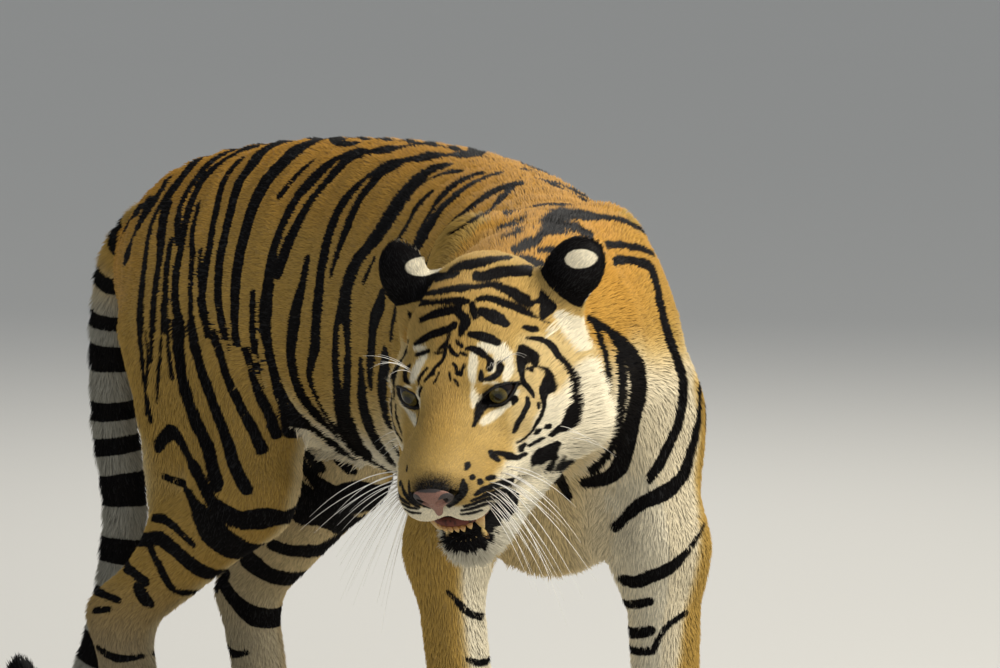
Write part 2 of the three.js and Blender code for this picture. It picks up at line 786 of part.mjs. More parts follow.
// Upper arms and thighs leave the trunk along planes that slope up and out from between the legs.
const ARM_OUTLINE = { left: [[149, 380], [149, 300], [360, 300], [360, 560]] };
ARM_OUTLINE.right = [[149, 380], [-80, 560], [-80, 300], [149, 300]];
const THIGH_OUTLINE = { left: [[112, 462], [112, 300], [330, 300], [330, 610]] };
THIGH_OUTLINE.right = [[112, 462], [-110, 640], [-110, 300], [112, 300]];
const ARM_REACH = { left: [395, 260], right: [330, 260] }; // start and length along the heading
const THIGH_REACH = { left: [-560, 375], right: [-560, 400] };
for (const side of ['left', 'right']) {
  const [armStart, armLength] = ARM_REACH[side];
  const [thighStart, thighLength] = THIGH_REACH[side];
  body.take(`upper_arm_${side}`, (grow) =>
    wedge(ARM_OUTLINE[side], FORE_HEADING, armStart, armLength, grow));
  body.take(`thigh_${side}`, (grow) =>
    wedge(THIGH_OUTLINE[side], HIND_HEADING, thighStart, thighLength, grow));
}

// Neck and trunk lengths, front to back.
function acrossSpine(centre, degrees, lean) {
  return (grow) => {
    const placed = new THREE.Matrix4().makeTranslation(...centre);
    placed.multiply(new THREE.Matrix4().makeRotationZ(radians(degrees)));
    placed.multiply(new THREE.Matrix4().makeRotationY(radians(lean)));
    placed.multiply(new THREE.Matrix4().makeTranslation(400, 0, 0));
    return block([800 + 2 * grow, 1200, 1200], placed);
  };
}
body.take('neck', acrossSpine([430, -125, 640], -45, -24));
body.take('chest', acrossSpine([215, 20, 600], -18, 0));
body.take('ribcage', acrossSpine([-60, 66, 600], 0, 0));
body.take('loin', acrossSpine([-255, 48, 600], 12, 0));
body.keepRest('rump');

// The head: eyeballs in their sockets, the ears, the lower jaw, the nose and the muzzle.
const head = new Parting(largest(solidFromMesh(headMesh).intersect(headRegion(0))));

function ball(centre, radius, across, down) {
  const place = new THREE.Matrix4().makeTranslation(...onHead(centre).toArray());
  return solidFromGeometry(new THREE.SphereGeometry(radius, across, down), place.multiply(headTurn));
}

for (const [side, s] of [['left', 1], ['right', -1]]) {
  const [forward, across, up] = EYEBALL;
  const centre = [forward, s * across, up];
  head.rest = largest(head.rest.subtract(ball(centre, EYEBALL_RADIUS + 2 * GAP, 12, 8)));
  head.pieces[`eye_${side}`] = ball(centre, EYEBALL_RADIUS, 12, 8);
}

// Each ear is the front half of a thin oval bowl on the root that the head carries. It leaves the
// head a little below the middle of its flap. "face" points out of its rounded back.
const EAR_RADII = [42, 33, 26]; // up, across, through
const EAR_WALL = 9;
const EAR_CUT = 26;
const EAR_RIM = 4; // how far the flap reaches past the middle of the bowl
for (const side of ['left', 'right']) {
  const up = headWay(EARS[side].up).normalize();
  const face = headWay(EARS[side].face).projectOnPlane(up).normalize();
  const placed = new THREE.Matrix4().makeBasis(up, face.clone().cross(up), face);
  placed.setPosition(onHead([-98, EARS[side].across, 96]));
  const at = (x, y, z) => placed.clone().multiply(new THREE.Matrix4().makeTranslation(x, y, z));
  const oval = (shrink) => {
    const radii = EAR_RADII.map((radius) => radius - shrink);
    return solidFromGeometry(new THREE.SphereGeometry(1, 14, 10), at(0, 0, 0).scale(vector(radii)));
  };
  const around = (grow) =>
    block([120 + 2 * grow, 82 + 2 * grow, 90 + 2 * grow], at(60 - EAR_CUT, 0, 0));
  const front = block([120, 120, 60], at(60 - EAR_CUT, 0, 30 - EAR_RIM));
  const flap = oval(0).subtract(oval(EAR_WALL)).intersect(front);
  head.take(`ear_${side}`, around);
  head.pieces[`ear_${side}`] = largest(head.pieces[`ear_${side}`].add(flap));
}
const MOUTH_SLOPE = 11.8; // degrees, the line between the lips
head.take('lower_jaw', (grow) => headBlock([87, 0, -150.5], [150, 200, 140], MOUTH_SLOPE, grow));
head.take('nose_leather', (grow) => headBlock([172, 0, -15], [48, 52, 38], 0, grow));
head.take('muzzle', (grow) => headBlock([137, 0, 0], [150, 240, 300], 0, grow));
head.keepRest('head');

// Teeth grow from the upper jaw: a pair of canines with six small front teeth between them.
function tooth([forward, across, up], radius, length) {
  const place = headPlace.clone().multiply(new THREE.Matrix4().makeTranslation(forward, across, up));
  place.multiply(new THREE.Matrix4().makeRotationX(-Math.PI / 2));
  return solidFromGeometry(new THREE.ConeGeometry(radius, length, 7), place);
}
for (const s of [1, -1]) {
  const teeth = [tooth([116, s * 25, -67], 7, 44)];
  for (const across of [4, 11, 18]) teeth.push(tooth([126, s * across, -64], 4, 24));
  for (const piece of teeth) head.pieces.muzzle = head.pieces.muzzle.add(piece);
}

// ---------------------------------------------------------------------------------------------
// The group
// ---------------------------------------------------------------------------------------------

const COAT = { color: 0xc27f38, roughness: 0.85 };
const FINISHES = {
  lower_jaw: { color: 0xd9d2c4, roughness: 0.85 },
  nose_leather: { color: 0xa8685c, roughness: 0.5 },
  eye_left: { color: 0x6f5a26, roughness: 0.1 },
  eye_right: { color: 0x6f5a26, roughness: 0.1 },
  ear_left: { color: 0x231f1c, roughness: 0.85 },
  ear_right: { color: 0x231f1c, roughness: 0.85 },
  tail_6: { color: 0x1d1a18, roughness: 0.85 },
};

function meshOf(name, solid) {
  const { vertProperties, triVerts } = solid.getMesh();
  const geometry = new THREE.BufferGeometry();
  geometry.setAttribute('position', new THREE.BufferAttribute(vertProperties, 3));
  geometry.setIndex(new THREE.BufferAttribute(triVerts, 1));
  const plain = geometry.toNonIndexed();
  plain.computeVertexNormals();
  const finish = FINISHES[name] ?? COAT;
  const mesh = new THREE.Mesh(plain, new THREE.MeshStandardMaterial({ metalness: 0, ...finish }));
  mesh.name = name;
  return mesh;
}

const tiger = new THREE.Group();
for (const [name, solid] of Object.entries({ ...head.pieces, ...body.pieces })) {
  tiger.add(meshOf(name, solid));
}

// The tiger stands over the middle of its own footprint box.
const bounds = new THREE.Box3().setFromObject(tiger);
const middle = bounds.getCenter(new THREE.Vector3());
tiger.position.set(-middle.x, -middle.y, -bounds.min.z);

export default tiger;
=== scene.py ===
"""A life-size tiger standing still, its head lowered and turned to its right.

The shape is one smooth field: tapered oval masses that melt into each other, drawn in by the depth
of the coat. Its zero surface is meshed once as a single skin, more finely on the head, where eyelids,
ears, nostrils and mouth are cut and added in the same field. The coat is many small solid tufts that
grow from the skin along the lie of the hair, and both carry the same painted markings.

While the tiger is worked out, X is the heading of the trunk, Y is its left and Z is up, in metres.
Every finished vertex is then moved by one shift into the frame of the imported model.
"""

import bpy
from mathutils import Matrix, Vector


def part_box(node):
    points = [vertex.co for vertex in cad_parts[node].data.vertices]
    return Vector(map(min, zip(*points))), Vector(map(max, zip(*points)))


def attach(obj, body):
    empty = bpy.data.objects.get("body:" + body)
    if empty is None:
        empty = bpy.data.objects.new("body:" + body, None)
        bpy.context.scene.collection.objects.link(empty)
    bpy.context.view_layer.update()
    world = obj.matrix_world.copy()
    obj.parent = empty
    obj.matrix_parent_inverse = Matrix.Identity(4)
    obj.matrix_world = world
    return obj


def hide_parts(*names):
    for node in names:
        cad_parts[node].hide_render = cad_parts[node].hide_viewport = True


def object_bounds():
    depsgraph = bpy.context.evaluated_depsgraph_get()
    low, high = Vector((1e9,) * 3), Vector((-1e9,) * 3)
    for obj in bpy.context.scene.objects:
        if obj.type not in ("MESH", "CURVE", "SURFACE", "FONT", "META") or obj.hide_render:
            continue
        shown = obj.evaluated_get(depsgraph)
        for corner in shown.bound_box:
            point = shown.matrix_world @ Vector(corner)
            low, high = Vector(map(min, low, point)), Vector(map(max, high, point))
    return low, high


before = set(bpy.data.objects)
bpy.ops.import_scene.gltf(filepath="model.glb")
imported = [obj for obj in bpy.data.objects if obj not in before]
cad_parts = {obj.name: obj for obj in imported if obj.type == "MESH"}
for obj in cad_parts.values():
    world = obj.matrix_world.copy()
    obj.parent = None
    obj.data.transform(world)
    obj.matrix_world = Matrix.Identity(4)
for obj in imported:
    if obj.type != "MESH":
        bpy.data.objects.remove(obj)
CAD_BOUNDS = [[float(v) for v in corner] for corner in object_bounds()]

import logging
import math
from dataclasses import astuple, dataclass
from enum import Enum
from itertools import product

import bpy
import numpy as np

Array = np.ndarray
LOG = logging.getLogger("tiger")
MM = 0.001
CM = 0.01

# The head has its own frame: X forward out of the nose, Y left, Z up. It is turned, lowered, tilted.
HEAD_ORIGIN = np.array([0.634, -0.357, 0.624])
HEAD_TURN = -54.5
HEAD_LOWERED = 25.0
HEAD_TILT = 5.0
HEAD_SCALE = 1.015
EYEBALL = (36, 46.5, 34.5)  # centre of the left eyeball in the head's frame, in mm
EYEBALL_RADIUS = 18.5
NECK_CUT = -0.128  # where the fine mesh of the head starts, along the head's level heading

FORE_HEADING = -32.0  # the way the shoulders face, in degrees
HIND_HEADING = 20.0  # the way the hips face

CAD_BOX = np.array(CAD_BOUNDS)


# ---- Vectors and smooth curves ----


def unit(vectors: Array) -> Array:
    """Vectors scaled to length one, along the last axis."""
    vectors = np.asarray(vectors, float)
    return vectors / np.maximum(np.linalg.norm(vectors, axis=-1, keepdims=True), 1e-12)


def heading(degrees: float) -> Array:
    """The level direction at an angle from X."""
    angle = math.radians(degrees)
    return np.array([math.cos(angle), math.sin(angle), 0.0])


def left_of(degrees: float) -> Array:
    """The level direction to the left of a heading."""
    return heading(degrees + 90)


def turned(axis: int, degrees: float) -> Array:
    """A rotation matrix: cosines and sines of the angle in the two other axes.

    Args:
        axis: 0, 1 or 2.
        degrees: the angle.

    Returns:
        The matrix, (3, 3).
    """
    c, s = math.cos(math.radians(degrees)), math.sin(math.radians(degrees))
    a, b = (axis + 1) % 3, (axis + 2) % 3
    matrix = np.eye(3)
    matrix[a, a], matrix[a, b], matrix[b, a], matrix[b, b] = c, -s, s, c
    return matrix


HEAD_AXES = turned(2, HEAD_TURN) @ turned(1, HEAD_LOWERED) @ turned(0, HEAD_TILT)


def on_head(points: Array) -> Array:
    """Points of the head's frame, in mm, as places in metres."""
    return HEAD_ORIGIN + (np.asarray(points, float) * (HEAD_SCALE * MM)) @ HEAD_AXES.T


def head_way(vector: Array) -> Array:
    """A direction of the head's frame as a direction of the body's."""
    return HEAD_AXES @ np.asarray(vector, float)


def to_head(points: Array) -> Array:
    """Places in metres as points of the head's frame, in mm."""
    return ((points - HEAD_ORIGIN) @ HEAD_AXES) / (HEAD_SCALE * MM)


def step(values: Array, low: float, high: float) -> Array:
    """Zero below low, one above high, the cubic 3t^2 - 2t^3 between. Low may be above high.

    Args:
        values: what is stepped.
        low: where it is still 0.
        high: where it is already 1.

    Returns:
        Values from 0 to 1.
    """
    t = np.clip((values - low) / (high - low), 0, 1)
    return t * t * (3 - 2 * t)


def smooth_rows(rows: list, steps: int) -> Array:
    """Rows of numbers joined by a Catmull-Rom curve.

    Args:
        rows: the rows the curve passes through.
        steps: how many even steps it is read off at.

    Returns:
        steps + 1 rows on the curve.
    """
    rows = np.asarray(rows, float)
    padded = np.vstack([2 * rows[0] - rows[1], rows, 2 * rows[-1] - rows[-2]])
    place = np.linspace(0, len(rows) - 1, steps + 1)
    index = np.minimum(place.astype(int), len(rows) - 2)
    u = (place - index)[:, None]
    a, b, c, d = (padded[index + k] for k in range(4))
    return 0.5 * (
        2 * b
        + (c - a) * u
        + (2 * a - 5 * b + 4 * c - d) * u**2
        + (3 * b - a - 3 * c + d) * u**3
    )


def along_line(points: Array, line: Array, run: Array) -> tuple[Array, Array]:
    """The nearest place on a broken line, by the foot of the perpendicular on each of its pieces.

    Args:
        points: places, (n, k).
        line: the line's corners, (m, k).
        run: the way along the line at each corner.

    Returns:
        The way along at each point's nearest place, and the point's offset from it.
    """
    best = np.full(len(points), np.inf)
    along, offset = np.zeros(len(points)), np.zeros_like(points)
    for start, a, b in zip(run, line[:-1], line[1:]):
        piece = b - a
        t = np.clip((points - a) @ piece / (piece @ piece), 0, 1)
        off = points - a - t[:, None] * piece
        gap = (off**2).sum(1)
        closer = gap < best
        best[closer] = gap[closer]
        along[closer] = (start + t * np.linalg.norm(piece))[closer]
        offset[closer] = off[closer]
    return along, offset


def soft_noise(points: Array, cell: float, seed: int = 0) -> Array:
    """Smooth noise from -1 to 1: a hashed value at each lattice corner, blended by smooth cubics.

    Args:
        points: places, (n, 3).
        cell: spacing of the lattice.
        seed: picks another noise.

    Returns:
        One value for each point.
    """
    place = points / cell
    base = np.floor(place).astype(np.int64)
    part = step(place - base, 0, 1)
    total = np.zeros(len(points))
    for corner in product((0, 1), repeat=3):
        node = base + np.array(corner)
        mixed = node[:, 0] * 73856093 ^ node[:, 1] * 19349663 ^ node[:, 2] * 83492791 ^ seed * 97531
        mixed = (mixed ^ (mixed >> 13)) * 1274126177 & 0x7FFFFFFF
        weight = np.prod(np.where(np.array(corner) == 1, part, 1 - part), axis=1)
        total += weight * (mixed / 0x3FFFFFFF - 1)
    return total


# ---- The field ----


class Part(Enum):
    """The part of the body that a mass belongs to."""

    TRUNK = 0
    NECK = 1
    FORELEG_LEFT = 2
    FORELEG_RIGHT = 3
    HINDLEG_LEFT = 4
    HINDLEG_RIGHT = 5
    TAIL = 6
    HEAD = 7


LEGS = (Part.FORELEG_LEFT, Part.FORELEG_RIGHT, Part.HINDLEG_LEFT, Part.HINDLEG_RIGHT)


def on_parts(part: Array, *parts: Part) -> Array:
    """Where an array of numbers of Part is one of some parts."""
    return np.isin(part, [one.value for one in parts])


class Lie(Enum):
    """Which way the hair of a mass runs."""

    FORTH = 1
    BACK = -1
    FROM_NOSE = 0


def melt(a: Array, b: Array, reach: float) -> Array:
    """The smaller of two fields, rounded where they are within reach of each other."""
    overlap = np.maximum(reach - np.abs(a - b), 0) / reach
    return np.minimum(a, b) - overlap * overlap * reach * 0.25


def cut_away(a: Array, b: Array, reach: float) -> Array:
    """Field a without the inside of b, with rounded edges."""
    return -melt(-a, b, reach)


@dataclass
class Shape:
    """Something that the field adds or takes away: it is below zero inside."""

    blend: float
    hollow: bool = False

    def ends(self) -> tuple[Array, float]:
        """Points of the shape, and how far it reaches round them."""
        raise NotImplementedError

    def distance(self, points: Array) -> Array:
        """About the distance from the shape's surface."""
        raise NotImplementedError

    def close_to(self, points: Array, margin: float) -> Array:
        """Which points lie in the box round the shape's ends, widened by its reach and a margin.

        Args:
            points: places, (n, 3).
            margin: how far outside the shape still counts, in metres.

        Returns:
            One truth per point.
        """
        ends, reach = self.ends()
        reach += margin
        return ((points > ends.min(0) - reach) & (points < ends.max(0) + reach)).all(1)

    def merge(self, values: Array, points: Array) -> Array:
        """Values of the field at the points with this shape added or taken away."""
        way = cut_away if self.hollow else melt
        return way(values, self.distance(points), self.blend)


@dataclass
class Mass(Shape):
    """A tapered oval rod, rounded at its ends."""

    start: Array = None
    end: Array = None
    size_a: tuple = (0.05, 0.05)
    size_b: tuple = (0.05, 0.05)
    side: Array = None
    caps: tuple | None = None
    coat: float = 0.0
    part: Part = Part.TRUNK
    lie: Lie = Lie.FORTH

    def __post_init__(self) -> None:
        """Works out the rod's axes and draws it in by the coat's depth."""
        self.start, self.end = np.asarray(self.start, float), np.asarray(self.end, float)
        self.length = float(np.linalg.norm(self.end - self.start))
        self.axis = (self.end - self.start) / self.length
        self.side = unit(self.side - self.axis * float(self.axis @ self.side))
        self.rise = np.cross(self.axis, self.side)
        self.size_a = tuple(size - self.coat for size in self.size_a)
        self.size_b = tuple(size - self.coat for size in self.size_b)
        if self.caps:
            self.caps = tuple(size - self.coat for size in self.caps)

    def ends(self) -> tuple[Array, float]:
        """The rod's two ends and its largest size."""
        return np.stack([self.start, self.end]), max(*self.size_a, *self.size_b, *(self.caps or (0, 0)))

    def distance(self, points: Array) -> Array:
        """Near (near - 1) / slope, where near is the length of the offset measured in the oval's sizes.

        Args:
            points: places, (..., 3).

        Returns:
            About the distance from the rod.
        """
        offset = points - self.start
        along = offset @ self.axis
        t = np.clip(along / self.length, 0, 1)
        width = self.size_a[0] + (self.size_b[0] - self.size_a[0]) * t
        height = self.size_a[1] + (self.size_b[1] - self.size_a[1]) * t
        past = along - t * self.length
        cap = np.where(past < 0, *self.caps) if self.caps else np.minimum(width, height)
        u, v, w = (offset @ self.side) / width, (offset @ self.rise) / height, past / cap
        near = np.sqrt(u * u + v * v + w * w) + 1e-9
        slope = np.sqrt((u / width) ** 2 + (v / height) ** 2 + (w / cap) ** 2) + 1e-9
        return near * (near - 1) / slope


@dataclass
class Ball(Shape):
    """A round ball."""

    centre: Array = None
    radius: float = 0.01

    def ends(self) -> tuple[Array, float]:
        """The centre and the radius."""
        return self.centre[None], self.radius

    def distance(self, points: Array) -> Array:
        """Distance from the centre, less the radius."""
        return np.linalg.norm(points - self.centre, axis=-1) - self.radius


@dataclass
class Eye:
    """Where one eyeball sits, the way it looks, and the almond opening of its lids."""

    sign: int
    half_width: float = 21.0 * MM
    upper: float = 9.6 * MM
    lower: float = 8.8 * MM

    def __post_init__(self) -> None:
        """Sets the axes: gaze forward, along from the inner corner to the outer, across upwards."""
        self.centre = on_head([EYEBALL[0], self.sign * EYEBALL[1], EYEBALL[2]])
        self.radius = EYEBALL_RADIUS * HEAD_SCALE * MM
        self.gaze = unit(head_way([1.0, 0.26 * self.sign, -0.02]))
        corner = head_way([-0.30, 0.82 * self.sign, 0.24])
        self.along = unit(corner - self.gaze * float(corner @ self.gaze))
        self.across = np.cross(self.gaze, self.along) * self.sign

    def opening(self, points: Array) -> tuple[Array, Array]:
        """How far points lie outside the opening, as seen along the gaze.

        The lids are arches: half-height (1 - t^2) at t of the half width, the lower one fuller
        towards the inner corner.

        Args:
            points: places, (..., 3).

        Returns:
            Distance outside the opening, and distance in front of the centre.
        """
        offset = points - self.centre
        a, b = offset @ self.along, offset @ self.across
        t = np.clip(a / self.half_width, -1.4, 1.4)
        arch = 1 - t * t
        above = b - self.upper * arch * (1 + 0.22 * t)
        below = -b - self.lower * arch * (1 - 0.15 * t)
        ends = np.abs(a) - self.half_width
        return np.maximum(np.maximum(above, below), ends), offset @ self.gaze


@dataclass
class LidOpening(Shape):
    """The hollow in front of the eyeball: the ball's own shape, inside the opening of the lids."""

    eye: Eye = None
    depth: float = 1.5 * MM

    def ends(self) -> tuple[Array, float]:
        """The eyeball's centre, and a reach past the lids."""
        return self.eye.centre[None], self.eye.radius + 8 * MM

    def distance(self, points: Array) -> Array:
        """The greatest of: outside the opening, deeper than just under the ball's surface, and behind it.

        Args:
            points: places, (n, 3).

        Returns:
            About the distance, below zero where the lid is cut open.
        """
        outside, ahead = self.eye.opening(points)
        under = self.eye.radius - self.depth - np.linalg.norm(points - self.eye.centre, axis=-1)
        return np.maximum(np.maximum(outside * 0.9, under), 3 * MM - ahead)


@dataclass
class EarFlap(Shape):
    """The front half of a thin oval bowl. Its axes are up, across and face, out of its rounded back."""

    centre: Array = None
    axes: Array = None
    radii: Array = None
    wall: float = 5 * MM
    rim: float = 4 * MM

    def ends(self) -> tuple[Array, float]:
        """The bowl's centre and its longest radius."""
        return self.centre[None], float(self.radii.max())

    def distance(self, points: Array) -> Array:
        """The oval, less the same oval inside its wall, less all behind the rim.

        Args:
            points: places, (..., 3).

        Returns:
            About the distance from the flap.
        """
        local = (points - self.centre) @ self.axes.T
        near = np.linalg.norm(local / self.radii, axis=-1) + 1e-9
        slope = np.linalg.norm(local / self.radii**2, axis=-1) + 1e-9
        oval = near * (near - 1) / slope
        shell = np.abs(oval + self.wall / 2) - self.wall / 2
        return np.maximum(shell, -local[..., 2] - self.rim)


class Field:
    """All the shapes, merged in order. The skin is where the field is zero."""

    FAR = 1.0
    FLOOR = 0.6 * MM
    PULL = 12 * MM  # how fast a mass's hold on the lie of the hair fades
    PULL_DEPTH = 20 * MM  # inside it, the depth past which the hold grows no more

    def __init__(self, shapes: list[Shape]) -> None:
        """Keeps the shapes, in the order in which they merge."""
        self.shapes = shapes
        self.masses = [shape for shape in shapes if isinstance(shape, Mass) and not shape.hollow]

    def at(self, points: Array) -> Array:
        """The field at any points near the skin.

        Args:
            points: places, (n, 3).

        Returns:
            Values, below zero inside.
        """
        values = np.full(len(points), self.FAR)
        for shape in self.shapes:
            near = shape.close_to(points, shape.blend + 15 * MM)
            values[near] = shape.merge(values[near], points[near])
        return cut_away(values, points[:, 2] - self.FLOOR, 3 * MM)

    def on_grid(self, axes: list[Array], origin: Array, way: Array) -> Array:
        """The field on a grid of points that is turned about the upright axis.

        Args:
            axes: the grid's coordinates along its three axes.
            origin: where its coordinates are zero.
            way: its axes as rows.

        Returns:
            Values, one for each grid point.
        """
        values = np.full([len(axis) for axis in axes], self.FAR)
        cell = axes[0][1] - axes[0][0]
        for shape in self.shapes:
            ends, reach = shape.ends()
            local = (ends - origin) @ way.T
            reach += shape.blend + 2 * cell
            span = [
                slice(*np.searchsorted(axis, [low - reach, high + reach]))
                for axis, low, high in zip(axes, local.min(0), local.max(0))
            ]
            if any(part.start >= part.stop for part in span):
                continue
            grid = np.stack(np.meshgrid(*(a[s] for a, s in zip(axes, span)), indexing="ij"), -1)
            span = tuple(span)
            values[span] = shape.merge(values[span], origin + grid @ way)
        return cut_away(values, np.broadcast_to(axes[2] + origin[2] - self.FLOOR, values.shape), 3 * MM)

    def slope(self, points: Array, step_size: float = 0.4 * MM) -> tuple[Array, Array]:
        """The field and its gradient by central differences.

        Args:
            points: places, (n, 3).
            step_size: half the way between the two samples, in metres.

        Returns:
            The values, and the gradients, (n, 3).
        """
        steps = np.eye(3) * step_size
        gradient = [(self.at(points + s) - self.at(points - s)) / (2 * step_size) for s in steps]
        return self.at(points), np.stack(gradient, 1)

    def settle(self, points: Array, rounds: int = 3, most: float = 2.5 * MM) -> Array:
        """Moves points onto the skin by Newton steps along the gradient.

        Args:
            points: places near the skin, (n, 3).
            rounds: how many steps.
            most: the longest step, in metres.

        Returns:
            The moved points.
        """
        for _ in range(rounds):
            values, gradient = self.slope(points)
            move = -gradient * (values / np.maximum((gradient**2).sum(1), 0.1))[:, None]
            length = np.linalg.norm(move, axis=1, keepdims=True)
            points = points + move * np.minimum(1, most / np.maximum(length, 1e-12))
        return points

    def nearest(self, points: Array) -> tuple[Array, Array]:
        """The part of the body that each point is on, and the way the hair lies there.

        Each mass pulls the hair along its own axis, by e^(-distance / 12 mm).

        Args:
            points: places on the skin, (n, 3).

        Returns:
            Indices of Part, and directions, not yet laid on the skin.
        """
        best = np.full(len(points), self.FAR)
        part = np.zeros(len(points), int)
        way = np.zeros_like(points)
        nose = on_head([150, 0, -18])
        for mass in self.masses:
            near = np.flatnonzero(mass.close_to(points, 50 * MM))
            if not len(near):
                continue
            distance = mass.distance(points[near])
            closer = distance < best[near]
            best[near[closer]] = distance[closer]
            part[near[closer]] = mass.part.value
            pull = np.exp(-np.maximum(distance, -self.PULL_DEPTH) / self.PULL)[:, None]
            if mass.lie is Lie.FROM_NOSE:
                way[near] += pull * unit(points[near] - nose)
            else:
                way[near] += pull * mass.axis * mass.lie.value
        return part, way


# ---- The masses of the body ----


@dataclass(frozen=True)
class Leg:
    """The joints of one leg, in mm, from the trunk to the floor, and the way its toes point."""

    part: Part
    upper: tuple
    second: tuple
    middle: tuple
    low: tuple | None
    ankle: tuple
    toes: float
    seat: tuple | None = None
    calf: tuple | None = None
    girth: float = 1.0

    def offset(self, points: Array) -> Array:
        """How far points are, in x and y, from the line through the leg's joints at their height.

        Args:
            points: places, (n, 3).

        Returns:
            Offsets, (n, 2).
        """
        joints = [joint for joint in (self.upper, self.second, self.middle, self.low, self.ankle) if joint]
        line = np.array(joints) * MM
        line = line[np.argsort(line[:, 2])]
        return points[:, :2] - np.stack([np.interp(points[:, 2], line[:, 2], line[:, k]) for k in (0, 1)], 1)


@dataclass
class Anatomy:
    """Every mass of the tiger: trunk, neck, legs, tail and head."""

    # x, y, height of the back, height of the belly, half the width
    trunk: tuple = (
        (-550, -40, 712, 550, 58),
        (-465, -15, 783, 490, 110),
        (-330, 32, 816, 455, 133),
        (-180, 62, 827, 430, 136),
        (-20, 68, 826, 415, 150),
        (130, 45, 812, 398, 158),
        (260, 0, 790, 385, 153),
        (370, -65, 775, 375, 138),
        (450, -135, 745, 385, 116),
    )
    # x, y, z, radius
    tail: tuple = (
        (-545, -35, 690, 40),
        (-597, -45, 645, 34),
        (-625, -45, 560, 32),
        (-632, -40, 440, 32),
        (-620, -32, 320, 31),
        (-625, -48, 200, 30),
        (-650, -70, 100, 29),
        (-690, -88, 55, 28),
        (-740, -95, 55, 26),
        (-785, -92, 95, 22),
    )
    fore_left: Leg = Leg(
        Part.FORELEG_LEFT, (330, 35, 710), (478, -20, 560), (530, -30, 420), (570, -52, 150),
        (578, -57, 45), -33,
    )
    fore_right: Leg = Leg(
        Part.FORELEG_RIGHT, (270, -115, 710), (375, -200, 560), (400, -236, 420), (456, -238, 150),
        (468, -236, 45), -33, girth=0.87,
    )
    hind_left: Leg = Leg(
        Part.HINDLEG_LEFT, (-430, 80, 610), (-310, 100, 400), (-500, 75, 225), None,
        (-462, 84, 45), 16, (-500, 50, 560), (-420, 85, 330),
    )
    hind_right: Leg = Leg(
        Part.HINDLEG_RIGHT, (-375, -45, 610), (-228, -95, 395), (-430, -158, 225), None,
        (-392, -147, 45), 16, (-445, -55, 570), (-355, -115, 330),
    )
    trunk_coat: float = 5
    neck_coat: float = 7
    leg_coat: float = 4.5
    paw_coat: float = 3
    tail_coat: float = 7

    def legs(self) -> tuple[Leg, ...]:
        """The four legs, in the order of Part."""
        return self.fore_left, self.fore_right, self.hind_left, self.hind_right

    def rod(
        self, start: tuple, end: tuple, size_a: tuple, size_b: tuple, side: Array, blend: float,
        coat: float, part: Part, lie: Lie = Lie.FORTH, caps: tuple | None = None,
    ) -> Mass:
        """A mass whose places and sizes are given in mm.

        Args:
            start: one end.
            end: the other.
            size_a: half width and half height at the start.
            size_b: the same at the end.
            side: the way across, as a direction.
            blend: how far it melts into the rest.
            coat: depth of the coat.
            part: the part of the body.
            lie: the lie of the hair.
            caps: how far the rounded ends reach, or None for the smaller size.

        Returns:
            The mass.
        """
        scaled = [tuple(v * MM for v in size) for size in (start, end, size_a, size_b)]
        caps = caps and tuple(v * MM for v in caps)
        return Mass(blend * MM, False, *scaled, side, caps, coat * MM, part, lie)

    def tube(self, stations: list, count: int, blend: float, coat: float, part: Part, lie: Lie) -> list[Mass]:
        """A run of short masses through smoothed stations.

        Args:
            stations: rows of x, y, z, half width and half height, in mm.
            count: how many masses.
            blend: how far each melts into the rest.
            coat: depth of the coat.
            part: the part of the body.
            lie: the lie of the hair.

        Returns:
            The masses.
        """
        rows = smooth_rows(stations, count)
        masses = []
        for a, b in zip(rows[:-1], rows[1:]):
            side = np.array([a[1] - b[1], b[0] - a[0], 0.0])
            caps = (min(30, a[3]), min(30, b[3]))
            masses.append(self.rod(a[:3], b[:3], a[3:], b[3:], side, blend, coat, part, lie, caps))
        return masses

    def paw(self, leg: Leg, size: float) -> list[Mass]:
        """Four toes, a pad and the top of the foot.

        Args:
            leg: the leg.
            size: scale of the foot.

        Returns:
            The masses.
        """
        ahead, left, ankle = heading(leg.toes), left_of(leg.toes), np.array(leg.ankle, float)

        def place(forward: float, sideways: float, up: float) -> Array:
            """A point of the foot, forward and sideways of the ankle."""
            spot = ankle + size * (ahead * forward + left * sideways)
            return np.array([spot[0], spot[1], up])

        def pad(start: tuple, end: tuple, size_a: tuple, size_b: tuple, blend: float, coat: float) -> Mass:
            """One mass of the foot."""
            sizes = [tuple(v * size for v in pair) for pair in (size_a, size_b)]
            return self.rod(place(*start), place(*end), *sizes, left, blend, coat, leg.part)

        masses = [
            pad((-12, 0, 40), (38, 0, 26), (42, 40), (47, 33), 20, self.paw_coat),
            pad((-4, 0, 12), (30, 0, 12), (38, 20), (42, 20), 12, self.paw_coat - 1),
        ]
        for forward, sideways, radius in ((74, 16, 16), (74, -16, 16), (57, 39, 15), (57, -39, 15)):
            root, tip = (forward - 30, sideways * 0.85, 24), (forward, sideways, 16)
            masses.append(pad(root, tip, (radius, 24), (radius, 22), 6, self.paw_coat - 1))
        return masses

    def foreleg(self, leg: Leg) -> list[Mass]:
        """Shoulder blade, upper arm, forearm, wrist and paw.

        Args:
            leg: the leg.

        Returns:
            The masses.
        """
        left, g, coat = left_of(FORE_HEADING), leg.girth, self.leg_coat
        return [
            self.rod(leg.upper, leg.second, (40, 85), (58, 88), left, 60, 8, leg.part),
            self.rod(leg.second, leg.middle, (58, 88), (50 * g, 70), left, 50, 8, leg.part),
            self.rod(leg.middle, leg.low, (46 * g, 60), (34, 41), left, 40, coat, leg.part),
            self.rod(leg.low, leg.ankle, (36, 41), (40, 40), left, 30, coat - 1, leg.part),
            *self.paw(leg, 1.0),
        ]

